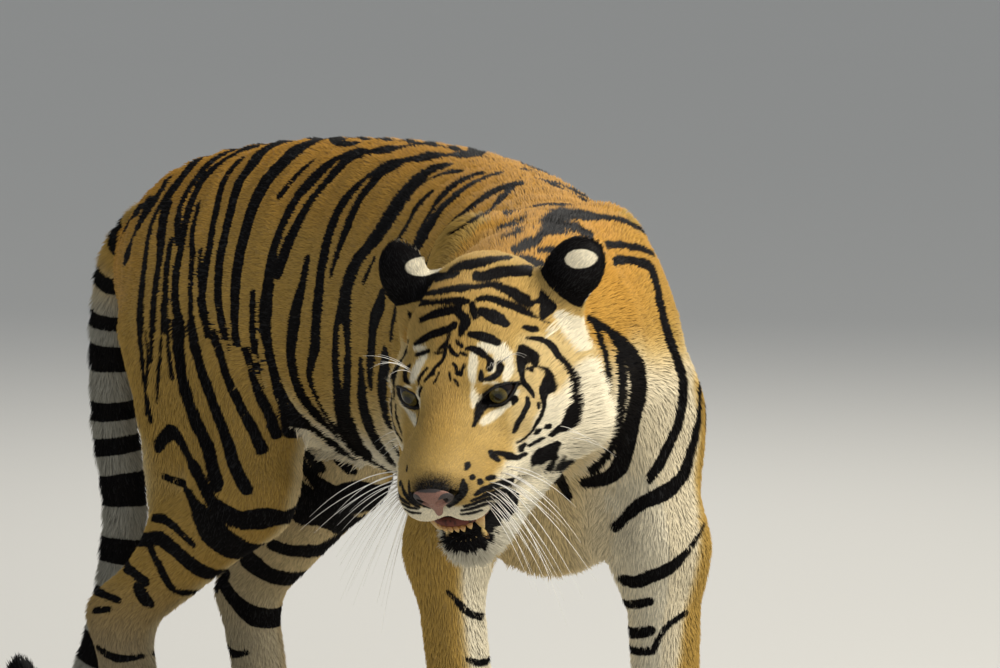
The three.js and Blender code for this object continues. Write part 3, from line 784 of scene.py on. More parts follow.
    def hindleg(self, leg: Leg) -> list[Mass]:
        """Thigh, calf, shank, hock and paw.

        Args:
            leg: the leg.

        Returns:
            The masses.
        """
        left, coat = left_of(HIND_HEADING), self.leg_coat
        return [
            self.rod(leg.upper, leg.second, (72, 120), (50, 70), left, 60, 8, leg.part),
            self.rod(leg.seat, leg.calf, (60, 75), (36, 45), left, 50, 8, leg.part),
            self.rod(leg.second, leg.middle, (46, 58), (30, 40), left, 40, coat, leg.part),
            self.rod(leg.middle, leg.ankle, (31, 42), (34, 34), left, 30, coat - 1, leg.part),
            *self.paw(leg, 0.9),
        ]

    def body(self) -> list[Mass]:
        """Trunk, neck, legs and tail, in their order.

        Returns:
            The masses.
        """
        trunk = [(x, y, (top + low) / 2, half, (top - low) / 2) for x, y, top, low, half in self.trunk]
        tail = [(*row, row[3]) for row in self.tail]
        nape = on_head([-80, 0, 0]) / MM
        middle, coat, neck = (480, -175, 640), self.neck_coat, (Part.NECK, Lie.BACK)
        return [
            *self.tube(trunk, 29, 12, self.trunk_coat, Part.TRUNK, Lie.BACK),
            self.rod((370, -70, 640), middle, (105, 135), (103, 122), left_of(-45), 60, coat, *neck),
            self.rod(middle, nape, (103, 122), (95, 100), left_of(-55), 60, coat, *neck),
            *self.foreleg(self.fore_left),
            *self.foreleg(self.fore_right),
            *self.hindleg(self.hind_right),
            *self.hindleg(self.hind_left),
            *self.tube(tail, 27, 6, self.tail_coat, Part.TAIL, Lie.FORTH),
        ]

    def head_rod(
        self, start: tuple, end: tuple, size_a: tuple, size_b: tuple, blend: float, coat: float,
        hollow: bool = False,
    ) -> Mass:
        """A mass of the head, in the head's own frame, in mm. Its hair runs away from the nose.

        Args:
            start: one end.
            end: the other.
            size_a: half width and half height at the start.
            size_b: the same at the end.
            blend: how far it melts into the rest.
            coat: depth of the coat.
            hollow: whether it is cut out of the rest.

        Returns:
            The mass.
        """
        sizes = [tuple(v * HEAD_SCALE * MM for v in size) for size in (size_a, size_b)]
        return Mass(
            blend * MM, hollow, on_head(start), on_head(end), *sizes, head_way([0, 1, 0]),
            None, coat * MM, Part.HEAD, Lie.FROM_NOSE,
        )

    def skull(self) -> list[Mass]:
        """The head without its ears, eyes and mouth.

        Returns:
            The masses.
        """
        masses = [
            self.head_rod((-80, 0, 54), (-35, 0, 54), (72, 72), (71, 66), 30, 6),
            self.head_rod((-30, 0, 52), (40, 0, 29), (67, 59), (53, 37), 20, 4.5),
            self.head_rod((35, 0, 30), (140, 0, -7), (42, 36), (30, 24), 20, 3),
        ]
        for s in (1, -1):
            masses += [
                self.head_rod((-40, s * 72, -2), (34, s * 60, -12), (30, 42), (26, 32), 30, 6),
                self.head_rod((52, s * 48, 2), (15, s * 67, 3), (17, 17), (22, 22), 20, 3.5),
                self.head_rod((-50, s * 68, -55), (0, s * 58, -53), (36, 46), (32, 39), 30, 10),
                self.head_rod((-10, s * 57, -40), (85, s * 36, -36), (35, 39), (27, 31), 20, 4),
                self.head_rod((44, s * 34, 47), (20, s * 62, 41), (13, 12), (17, 15), 30, 3),
                self.head_rod((96, s * 31, -33), (129, s * 25, -39), (32, 32), (27, 28), 12, 2.5),
                self.head_rod((-65, s * 82, 0), (-55, s * 89, -65), (32, 38), (34, 42), 30, 14),
                self.head_rod((-30, s * 56, -82), (66, s * 31, -101), (26, 32), (18, 22), 20, 7),
            ]
        return masses + [
            self.head_rod((25, 0, -12), (115, 0, -24), (60, 50), (50, 38), 20, 3),
            self.head_rod((146, 0, -16), (154, 0, -17), (26, 18), (24, 16), 8, 1),
            self.head_rod((-20, 0, -88), (84, 0, -112), (46, 28), (34, 22), 20, 6),
            self.head_rod((76, 0, -113), (101, 0, -114), (38, 27), (31, 25), 12, 4),
        ]


@dataclass
class Ear:
    """One ear: its root on the skull and its thin flap, turned so that its rounded back faces forward."""

    across: float
    root: float
    up: tuple
    face: tuple
    spot: tuple
    radii: tuple = (42, 33, 26)
    coat: float = 3

    def __post_init__(self) -> None:
        """Sets the flap's axes: up, across and out of the back."""
        up = unit(head_way(self.up))
        face = head_way(self.face)
        face = unit(face - up * float(face @ up))
        self.axes = np.stack([up, np.cross(face, up), face])
        self.centre = on_head([-98, self.across, 96])

    def shapes(self, anatomy: Anatomy) -> list[Shape]:
        """The ear's root and its flap.

        Args:
            anatomy: the tiger, for its head's frame.

        Returns:
            The two shapes, in the order in which they merge.
        """
        sign = math.copysign(1, self.root)
        root = anatomy.head_rod((-85, sign * 67, 50), (-94, self.root, 78), (38, 28), (30, 22), 30, 4)
        radii = (np.array(self.radii) - self.coat) * MM
        return [root, EarFlap(6 * MM, False, self.centre, self.axes, radii)]

    def local(self, points: Array) -> Array:
        """Points in the ear's axes, in mm: up, across, out of the back."""
        return (points - self.centre) @ self.axes.T / MM

    def holds(self, points: Array, deep: float, low: float) -> Array:
        """Which points are on the ear: within `deep` of its middle sheet and above `low`, in mm."""
        up, across, back = self.local(points).T
        return (np.hypot(up, across) < 50) & (np.abs(back) < deep) & (up > low)


EARS = (
    Ear(103, 88, (-0.25, 0.8, 0.7), (0.75, 0.15, 0.45), (-118, -143)),
    Ear(-89, -78, (-0.25, -0.25, 0.95), (0.9, -0.25, 0.2), (64, -142)),
)
EYES = (Eye(1), Eye(-1))


def tiger_field() -> Field:
    """The whole field: masses, mouth and sockets, lids, their openings, nostrils and ears.

    Returns:
        The field.
    """
    anatomy = Anatomy()
    shapes: list[Shape] = [*anatomy.body(), *anatomy.skull()]
    ears = [shape for ear in EARS for shape in ear.shapes(anatomy)]
    shapes += [shape for shape in ears if isinstance(shape, Mass)]
    shapes.append(anatomy.head_rod((45, 0, -70), (150, 0, -92), (42, 3), (46, 14), 6, 0, True))
    for s in (1, -1):
        shapes.append(anatomy.head_rod((60, s * 48, 34), (80, s * 53, 34), (15, 14), (19, 18), 12, 0, True))
    for eye in EYES:
        shapes.append(Ball(5 * MM, False, eye.centre, eye.radius + 2.2 * MM))
    for eye in EYES:
        shapes.append(LidOpening(1.2 * MM, True, eye))
    for s in (1, -1):
        inner, bend, outer = (167, s * 8, -25), (157, s * 18, -17), (146, s * 27, -22)
        shapes.append(anatomy.head_rod(inner, bend, (4.6, 4.6), (3.6, 4.6), 3, 0, True))
        shapes.append(anatomy.head_rod(bend, outer, (3.6, 4.6), (1.6, 2.2), 3, 0, True))
    shapes.append(anatomy.head_rod((170, 0, -27), (160, 0, -66), (1.1, 3.5), (1.1, 3.5), 3, 0, True))
    shapes += [shape for shape in ears if isinstance(shape, EarFlap)]
    return Field(shapes)


# ---- From the field to one skin ----


def unpinch(values: Array) -> None:
    """Brings in an outside corner of each grid face whose inside corners only lie across from each other.

    Args:
        values: the field on the grid, changed in place.
    """
    index = np.arange(values.size).reshape(values.shape)
    flat = values.reshape(-1)
    just_inside = -1e-5
    changed = True
    while changed:
        changed = False
        for a, b in ((0, 1), (1, 2), (2, 0)):
            corners = []
            for shift_a, shift_b in ((0, 0), (1, 1), (1, 0), (0, 1)):
                cut = [slice(None)] * 3
                cut[a] = slice(shift_a, values.shape[a] - 1 + shift_a)
                cut[b] = slice(shift_b, values.shape[b] - 1 + shift_b)
                corners.append(index[tuple(cut)].reshape(-1))
            corners = np.stack(corners)
            inside = flat[corners] < 0
            pinched = (inside[0] == inside[1]) & (inside[2] == inside[3]) & (inside[0] != inside[2])
            if pinched.any():
                found = corners[:, pinched]
                level = np.where(flat[found] >= 0, flat[found], np.inf)
                flat[found[level.argmin(0), np.arange(found.shape[1])]] = just_inside
                changed = True


def surface_net(values: Array, axes: list[Array]) -> tuple[Array, Array, Array]:
    """A vertex in each crossed cell, at the mean of its edge crossings, and a quad round each crossed edge.

    Args:
        values: the field on the grid, below zero inside.
        axes: the grid's coordinates.

    Returns:
        Vertices, quads with outward faces, and the grid cell of each vertex.
    """
    inside = values < 0
    cells = np.array(values.shape) - 1
    corner_cuts = {
        corner: tuple(slice(c, n + c) for c, n in zip(corner, cells)) for corner in product((0, 1), repeat=3)
    }
    count = sum(inside[cut].astype(np.int8) for cut in corner_cuts.values())
    crossed = (count > 0) & (count < 8)
    number = np.full(crossed.shape, -1)
    number[crossed] = np.arange(crossed.sum())
    cell = np.argwhere(crossed)
    total, crossings = np.zeros((len(cell), 3)), np.zeros(len(cell))
    for corner in corner_cuts:
        for axis in range(3):
            if corner[axis]:
                continue
            here = cell + corner
            there = here.copy()
            there[:, axis] += 1
            a, b = values[tuple(here.T)], values[tuple(there.T)]
            hit = (a < 0) != (b < 0)
            t = np.where(hit, a / np.where(hit, a - b, 1), 0)
            place = np.array(corner, float) + np.eye(3)[axis] * t[:, None]
            total += np.where(hit[:, None], place, 0)
            crossings += hit
    spacing = np.array([axis[1] - axis[0] for axis in axes])
    origin = np.array([axis[0] for axis in axes])
    vertices = origin + spacing * (cell + total / crossings[:, None])
    quads = []
    for axis in range(3):
        b, c = (axis + 1) % 3, (axis + 2) % 3
        low, high = [slice(None)] * 3, [slice(None)] * 3
        low[axis], high[axis] = slice(0, -1), slice(1, None)
        for cut in (low, high):
            cut[b], cut[c] = slice(1, -1), slice(1, -1)
        edge = np.argwhere(inside[tuple(low)] != inside[tuple(high)])
        edge[:, b] += 1
        edge[:, c] += 1
        around = []
        for back_b, back_c in ((1, 1), (0, 1), (0, 0), (1, 0)):
            at = edge.copy()
            at[:, b] -= back_b
            at[:, c] -= back_c
            around.append(number[tuple(at.T)])
        quad = np.stack(around, 1)
        outward = inside[tuple(edge.T)]
        quad[~outward] = quad[~outward][:, ::-1]
        quads.append(quad)
    return vertices, np.concatenate(quads), cell


def triangles_of(vertices: Array, quads: Array) -> Array:
    """Each quad split along its shorter diagonal.

    Args:
        vertices: places, (n, 3).
        quads: corners, (m, 4).

    Returns:
        Corners of the triangles, (2m, 3).
    """
    corner = vertices[quads]
    one, other = (np.linalg.norm(corner[:, k] - corner[:, k + 2], axis=1) for k in (0, 1))
    first = one <= other
    a = np.where(first[:, None], quads[:, [0, 1, 2]], quads[:, [1, 2, 3]])
    b = np.where(first[:, None], quads[:, [0, 2, 3]], quads[:, [1, 3, 0]])
    return np.concatenate([a, b])


def rim_of(triangles: Array) -> Array:
    """The vertices of a mesh's one open rim, in order, the way its triangles run.

    Args:
        triangles: corners, (n, 3).

    Returns:
        Vertex numbers.
    """
    edges = triangles[:, [0, 1, 1, 2, 2, 0]].reshape(-1, 2)
    size = triangles.max() + 1
    key, back = edges[:, 0] * size + edges[:, 1], edges[:, 1] * size + edges[:, 0]
    open_edges = edges[~np.isin(key, back)]
    following = dict(open_edges.tolist())
    ring = [int(open_edges[0, 0])]
    while following[ring[-1]] != ring[0]:
        ring.append(following[ring[-1]])
    return np.array(ring)


def zip_rims(vertices: Array, first: Array, second: Array, axis: Array) -> Array:
    """Triangles between two facing rims, merged in the order of their angle about an axis.

    Args:
        vertices: the places of both rims' vertices.
        first: one rim, in order.
        second: the other, in order.
        axis: the direction that both rims run round.

    Returns:
        Triangles that close the gap.
    """
    centre = vertices[np.concatenate([first, second])].mean(0)
    across = unit(np.cross(axis, [0, 0, 1.0]))
    upward = np.cross(across, axis)

    def ordered(ring: Array) -> tuple[Array, Array]:
        """The rim turned to run with rising angle from its lowest, and its angles.

        Args:
            ring: vertex numbers in order.

        Returns:
            The turned ring, and the angle of each of its vertices.
        """
        offset = vertices[ring] - centre
        angle = np.unwrap(np.arctan2(offset @ upward, offset @ across))
        if angle[-1] < angle[0]:
            ring, angle = ring[::-1], angle[::-1]
        angle = angle - 2 * np.pi * np.floor((angle[0] + np.pi) / (2 * np.pi))
        start = int(np.argmax(angle > np.pi)) if (angle > np.pi).any() else 0
        if start:
            ring = np.roll(ring, -start)
            angle = np.concatenate([angle[start:] - 2 * np.pi, angle[:start]])
        return ring, np.maximum.accumulate(angle)

    (ring_a, angle_a), (ring_b, angle_b) = ordered(first), ordered(second)
    angles = np.concatenate([angle_a, angle_b])
    source = np.concatenate([np.zeros(len(ring_a), int), np.ones(len(ring_b), int)])
    order = np.argsort(angles, kind="stable")
    source = source[order]
    at_a = np.cumsum(source == 0)
    at_b = np.cumsum(source == 1)
    now_a, now_b = (at_a - 1) % len(ring_a), (at_b - 1) % len(ring_b)
    step_a = np.stack([ring_a[now_a], ring_a[(now_a - 1) % len(ring_a)], ring_b[now_b]], 1)
    step_b = np.stack([ring_b[(now_b - 1) % len(ring_b)], ring_b[now_b], ring_a[now_a]], 1)
    return np.where((source == 0)[:, None], step_a, step_b)


def refine(points: Array, triangles: Array, chosen: Array) -> tuple[Array, Array]:
    """Splits the chosen triangles in four, and their neighbours in two or three, so that no gap opens.

    Args:
        points: vertices, (n, 3).
        triangles: corners, (m, 3).
        chosen: which triangles to split, (m,).

    Returns:
        The new vertices and triangles.
    """
    edge = np.sort(triangles[:, [[0, 1], [1, 2], [2, 0]]], axis=2)
    key = edge[..., 0] * len(points) + edge[..., 1]
    split = np.unique(key[chosen])
    hit = np.isin(key, split)
    middle = len(points) + np.minimum(np.searchsorted(split, key), len(split) - 1)
    halves = (points[split // len(points)] + points[split % len(points)]) / 2
    count = hit.sum(1)
    shift = np.where(count == 2, (hit.argmin(1) + 1) % 3, hit.argmax(1))
    turn = (np.arange(3) + shift[:, None]) % 3
    a, b, c = np.take_along_axis(triangles, turn, 1).T
    ab, bc, ca = np.take_along_axis(middle, turn, 1).T
    pieces = [triangles[count == 0]]
    patterns = {
        1: ((a, ab, c), (ab, b, c)),
        2: ((ab, b, bc), (a, ab, bc), (a, bc, c)),
        3: ((a, ab, ca), (ab, b, bc), (ca, bc, c), (ab, bc, ca)),
    }
    for number, pattern in patterns.items():
        rows = count == number
        pieces += [np.stack([corner[rows] for corner in corners], 1) for corners in pattern]
    return np.concatenate([points, halves]), np.concatenate(pieces)


def vertex_normals(vertices: Array, triangles: Array) -> Array:
    """Mean normals of the faces round each vertex, weighted by area.

    Args:
        vertices: places, (n, 3).
        triangles: corners, (m, 3).

    Returns:
        Unit normals, (n, 3).
    """
    a, b, c = vertices[triangles].transpose(1, 0, 2)
    face = np.cross(b - a, c - a)
    total = np.zeros_like(vertices)
    for corner in range(3):
        for axis in range(3):
            total[:, axis] += np.bincount(triangles[:, corner], face[:, axis], len(vertices))
    return unit(total)


@dataclass
class SkinNet:
    """Meshes the field as one closed surface."""

    body_cell: float = 9.5 * MM
    head_cell: float = 3.8 * MM
    head_floor: float = 0.42  # below this height the body's own grid goes on ahead of the neck cut
    low: tuple = (-1.12, -1.14, -0.02)
    high: tuple = (0.33, 0.34, 0.86)

    def region(self, field_: Field, low: tuple, high: tuple, cell: float) -> tuple[Array, Array, Array, list]:
        """The surface net of one grid, in the neck cut's frame.

        Args:
            field_: the field.
            low: the grid's lowest corner, in metres.
            high: its highest corner.
            cell: its spacing.

        Returns:
            Vertices, quads, the grid cell of each vertex, and the grid's coordinates.
        """
        way = np.stack([heading(HEAD_TURN), left_of(HEAD_TURN), [0, 0, 1.0]])
        origin = HEAD_ORIGIN + way[0] * NECK_CUT
        origin[2] = 0
        axes = [np.arange(math.floor(a / cell), math.ceil(b / cell) + 1) * cell for a, b in zip(low, high)]
        values = field_.on_grid(axes, origin, way)
        unpinch(values)
        vertices, quads, cells = surface_net(values, axes)
        return origin + vertices @ way, quads, cells, axes

    def build(self, field_: Field) -> tuple[Array, Array]:
        """The skin: a net of the body, a finer net of the head, zipped together and settled on the field.

        Args:
            field_: the field.

        Returns:
            Vertices and triangles.
        """
        body, quads, cells, axes = self.region(field_, self.low, self.high, self.body_cell)
        behind = axes[0][cells[:, 0]] < -self.body_cell / 2
        kept = behind | (axes[2][cells[:, 2]] < self.head_floor)
        body_triangles = triangles_of(body, quads[kept[quads].all(1)])
        fine_low, fine_high = (0.0, -0.19, self.head_floor - 0.02), (0.33, 0.19, 0.83)
        head, quads, cells, _ = self.region(field_, fine_low, fine_high, self.head_cell)
        head_triangles = triangles_of(head, quads) + len(body)
        vertices = np.concatenate([body, head])
        seam = zip_rims(vertices, rim_of(body_triangles), rim_of(head_triangles), heading(HEAD_TURN))
        centre = vertices[seam].mean(1)
        a, b, c = vertices[seam].transpose(1, 0, 2)
        outward = (np.cross(b - a, c - a) * (centre - centre.mean(0))).sum()
        if outward < 0:
            seam = seam[:, ::-1]
        triangles = np.concatenate([body_triangles, head_triangles, seam])
        used, triangles = np.unique(triangles, return_inverse=True)
        vertices, triangles = vertices[used], triangles.reshape(-1, 3)
        vertices = field_.settle(vertices, 2)
        for wanted in (self.needs_first, self.needs_second):
            vertices, triangles = refine(vertices, triangles, wanted(vertices[triangles].mean(1)))
            vertices = field_.settle(vertices, 2)
        return vertices, triangles

    def needs_first(self, centres: Array) -> Array:
        """Triangles round the eyes, the nose, the mouth and the toes.

        Args:
            centres: the triangles' middles, (n, 3).

        Returns:
            Which triangles are split the first time.
        """
        local = to_head(centres)
        face = (local[:, 0] > 90) & (np.abs(local[:, 1]) < 60) & (local[:, 2] > -150)
        eyes = np.zeros(len(centres), bool)
        for eye in EYES:
            outside, ahead = eye.opening(centres)
            eyes |= (outside < 10 * MM) & (ahead > 4 * MM) & (ahead < 40 * MM)
        toes = (centres[:, 2] < 0.06) & (centres[:, 0] > -0.60)
        return face | eyes | toes

    def needs_second(self, centres: Array) -> Array:
        """Triangles at the lids' edges and the nostrils.

        Args:
            centres: the triangles' middles, (n, 3).

        Returns:
            Which triangles are split once more.
        """
        local = to_head(centres)
        nose = (local[:, 0] > 140) & (np.abs(local[:, 1]) < 30) & (local[:, 2] > -50)
        eyes = np.zeros(len(centres), bool)
        for eye in EYES:
            outside, ahead = eye.opening(centres)
            eyes |= (np.abs(outside) < 4 * MM) & (ahead > 4 * MM) & (ahead < 30 * MM)
        return nose | eyes


# ---- Markings ----


def strokes(chart: str) -> list[tuple[Array, Array]]:
    """Reads a chart of strokes: "widths: point, point, ...; widths: ...".

    Args:
        chart: each stroke's full widths, which are spread evenly along it, and the points it passes.

    Returns:
        Widths and points, (n, 2), of each stroke.
    """
    rows = (row.split(":") for row in chart.split(";"))
    return [
        (np.array(widths.split(), float), np.array([point.split() for point in points.split(",")], float))
        for widths, points in rows
    ]


# Dark stripes.
# On the flank a point is (way along the back from the tail's root, way down from the spine), in cm.
FLANK_STRIPES = strokes(
    """
    0.6 1.5 1.7 1.5 0.8: 2 0.2, 18 0, 36 0, 52 0, 62 0.2;
    1.2 2: 7.5 5, 8 8.2, 6.2 11.2, 4.5 13.2;
    1.5: 0.2 5.7, 3.7 7.2, 7 9.2;
    1.2: 10 2, 10.7 5, 10.7 7.5, 10.2 10;
    1: 10.2 10, 9 12.5, 8.8 15, 9.2 18.8, 9.5 22.5, 9.6 26, 9.8 30, 10.3 34;
    1.2 0.9: 10.5 11.5, 11 15.5, 11.8 18.8, 12 22.5, 11.9 26, 12 29.5;
    2 2 1.3 1 0.9 1.1 1.1 1.2 1.5 1.8 1.8: 18.5 2, 16.7 5, 15.5 7.5, 14.8 10, 14.8 15, 15.3 18.8, 15.5 21.3,
      16 25, 17 27.5, 17.8 30, 18.5 34;
    1.1 0.8: 15 1, 14.3 5, 14 7.5, 13.5 10, 13.1 12.5, 13.5 15, 14.5 17.5;
    0.7 0.9 0.9 1 1.6 1.3 1: 13.2 17, 13.5 20, 13.8 22.5, 13.9 25, 14 28.8, 12.5 34.5;
    0.6 1.1: 16.2 13, 16.5 15.5, 17 18, 18 20, 18.3 22.5, 18.8 25, 19.8 28.8, 21.3 32;
    0.5: 19.3 19.5, 20 22.5, 20.8 25;
    0.8 0.8 1 1.2 1.3 1.2 1.2 1.2: 19.5 5.7, 19.2 8.2, 19.2 10.8, 19.8 14, 20.5 17.5, 21 20, 20.8 25,
      21.8 27.5, 23 30, 24.5 32.5, 26 35;
    2 2 1.8 1.6 1.3 1.3 1.4 1.2 1 1 1: 22.8 0.5, 22.3 5, 22.8 8.2, 22.5 11.2, 23 15, 23.3 18.8, 23.5 22,
      24 25, 24.8 27.5, 25.8 30, 27 32.5;
    3 3.2 2.4 2 1.6 1.5 1.4 1.3 1 1 1: 29.3 1, 28.8 5, 28.5 8.2, 27.5 11.2, 27.2 15, 27 18.8, 26.8 22.5,
      27 26.2, 27.5 29.5, 28.5 32.5, 30 35;
    0.4 0.7: 33.5 7.8, 32.5 10.5, 31.5 14;
    1.5: 31.5 1, 33.5 2.5, 35.5 4, 37 3;
    2: 49 0, 46 4, 43.5 5.3, 41 6;
    2 1.8 1.7 1.6 1.7 2 2.5 1.6 1 1 1 1: 39.8 6.3, 37.8 7.5, 36.3 11.2, 34.8 14.2, 33.8 17.5, 33.2 20,
      33 22.5, 32.8 25, 32.4 27.5, 32.5 30, 33.2 32.5, 33.8 35, 35 38, 37 41.5, 40 45;
    1.6: 41.2 5.8, 40 8.2, 39.5 11.2, 38 14.2, 36.8 17.5, 35.8 20, 34.8 22.5;
    0.7 0.8 1.1 0.8: 30 25, 30.1 27, 30.3 30, 31.3 34, 32.5 37.5, 34.5 41;
    1 1.5 2.5 2.2 1.8 1.3: 40.8 21.3, 40.5 23.8, 39.3 26.3, 38.3 28.8, 37.3 31.3, 36.9 34.5, 38 38, 41 42;
    2.5: 60 0, 57 3, 53.8 5, 51.9 6.5, 49 9;
    1.5 1.5 1.4 1.6 2 2 1.6 1.2 0.9 1.8: 49 9, 46.9 11, 45.3 14, 44.7 17.2, 44.7 20.3, 44.8 24.4, 44.4 27.5,
      43.4 31, 41.3 33.4, 40.3 35.4, 41 38.5, 43 42, 46 46;
    1.4 1.4 1.2 1.5 1 0.5: 49.4 9.5, 49.4 11, 48.8 14, 48.8 17.2, 48.3 20.3, 47.8 22.8;
    0.8: 64.4 5.3, 62.8 7, 60.6 9.4;
    1.5 1.7 3 4.2 4 2.8 2.5 2.6 3 3.5: 60.3 5.3, 59 7.2, 58.8 10.3, 59 13, 59 15.6, 58 17.5, 56.3 19.4,
      54.4 21.3, 53 23.4, 52.2 26;
    1.8 1.8 1.9 1.6 2.5 4 4.5: 52 26, 50.3 28, 49.4 31.3, 48.4 34.4, 47.2 37.5, 46 40, 44.4 43.8;
    2.4 2.4 2 1.8 1.8 2.2 3 3: 53.5 26, 53.8 28, 53.8 31.3, 52.8 33, 51.3 35.3, 49.4 37.5, 48 40, 46.5 43;
    0.6: 59.4 20.3, 58.1 23;
    3 3.5 3 2.5 1: 65.3 24.4, 63.8 26.6, 63.1 29.7, 61.9 32, 60.6 34.4;
    2 2.2 3.5 4 4: 58.1 32.5, 57.2 35, 55.6 37.5, 54.4 40, 53.8 43;
    3: 68.8 30, 66.9 32.5, 65.3 35, 64.4 37.5;
    0.9 1.5: 64.5 10.3, 64.2 13, 65 15, 64.7 17;
    0.9: 68.4 4, 67.8 7.2, 68 10.3, 68.9 13, 69.5 15.6;
    1.5 1.6 1.8 2 3 2 1: 70.6 2.5, 70.6 5.6, 70.8 8.8, 70.9 12.5, 71.3 15.6, 72 21, 71 27;
    1 1.5 1.5 1: 76.3 1.6, 76.6 5.6, 77.2 8.8, 77 14, 78 20, 77 27;
    1 1.2 0.8: 77.5 3, 80.3 5.6, 81.9 7.5, 82.5 12, 84 18, 83 25;
    1.6 2 1.2: 75 33, 74 38, 72 44;
    1.4 1.8 1: 82 30, 81 36, 79 42;
    3 3.2 1.5: 38 44, 37 48, 36.5 52;
    2.2 2.5 1.2: 62 42, 61 46, 60 50
    """
)

# On the hind legs a point is (way forward, height), in cm.
HIND_STRIPES = strokes(
    """
    1: -43.5 62, -43.8 57.8, -43.5 55, -42.9 51, -41.7 47;
    1 0.8: -41 62, -41.3 56.6, -41.5 54.5;
    0.4 0.8 0.5: -42.6 58, -42 54, -42.8 50.5, -42.6 47.5;
    0.4 0.8 0.5: -39.6 57.5, -39.9 53, -40.4 49.3;
    0.8: -38.3 62, -37.9 56.6, -37.1 52.8;
    2.2: -36.7 62, -36 56.6, -34.6 52, -31.7 47.8, -28.3 44.5, -25.8 41.2;
    1.5: -34.6 62, -33.3 57, -30.8 52.8, -27.9 48.7, -24.6 44.5, -21.7 40.8;
    1.2: -31.7 62, -30 57.8, -27.1 52.8, -23.8 48.7, -21.3 45.3;
    1: -27.3 62, -25.8 57.4, -23.3 52, -20.4 47;
    1: -22.9 62, -22.5 57, -21.3 52, -19.4 47;
    2 1: -19.4 62, -19.6 55.8, -18.8 50.3, -17.5 47.8;
    1.2: -15.2 55.8, -16.7 52.8, -17.1 48.3;
    2: -40 44.1, -37.5 46, -35.4 45.3, -32.9 42.8, -30 42, -27.5 40, -25.8 38.3;
    0.9 0.9 1 2 5 4.5 3: -38.8 40.3, -35.8 39.7, -32.5 39.5, -30 38.3, -27.1 35.3, -25 32.8, -23.8 31.2;
    2.5: -25.8 38.3, -22.5 37, -20 37.4;
    1: -39.2 35.3, -36.7 35.5, -33.3 34.9, -30.8 33.3
    """
)
HIND_RIGHT_STRIPES = strokes(
    """
    1.5 1.8 2.5: -44.2 31.2, -41.7 32.2, -39.2 32.8, -36.3 33.3, -33.3 32, -31.3 30.3, -29.6 28.7;
    1.2: -38.3 32.4, -36.3 29.9, -35.4 27.4;
    1.3: -43.3 29, -41.3 28.7, -38.8 27.8;
    2: -40 26.6, -39.2 25.3;
    0.8: -35 26.8, -32.5 26.6, -29.6 27.4;
    0.9: -48.8 25.3, -46.3 25.3, -43.3 24.9;
    0.8: -47.1 23.3, -44.6 23.7;
    1: -39.2 22, -37.5 22.4, -35.4 23.7;
    0.9 1.2 0.6: -47 18.5, -44 17.6, -41.5 17.8;
    0.8 1 0.5: -45 13.5, -42.5 12.8, -40.5 13.2
    """
)
HIND_LEFT_STRIPES = strokes(
    """
    3.8: -29.5 34.8, -25 36.2, -21.5 37.5;
    1.2: -27 40, -25.5 41;
    1.8: -36.3 29.8, -33.3 29.2, -30 29.4, -27.9 30.4, -26.7 31.3;
    3 3 2.5 2.2 1.6 1.2: -42 27.5, -40 26.7, -37.5 25.4, -35 25, -32.9 26, -30.8 27.5;
    2 2.2 2.8 2.5: -45.4 23.3, -43.3 21.3, -41.3 19.8, -39.2 19.2;
    1.5: -47.5 22.7, -45.4 24.6;
    0.9 1.2 0.6: -47 15.5, -44.5 14.6, -42 15
    """
)

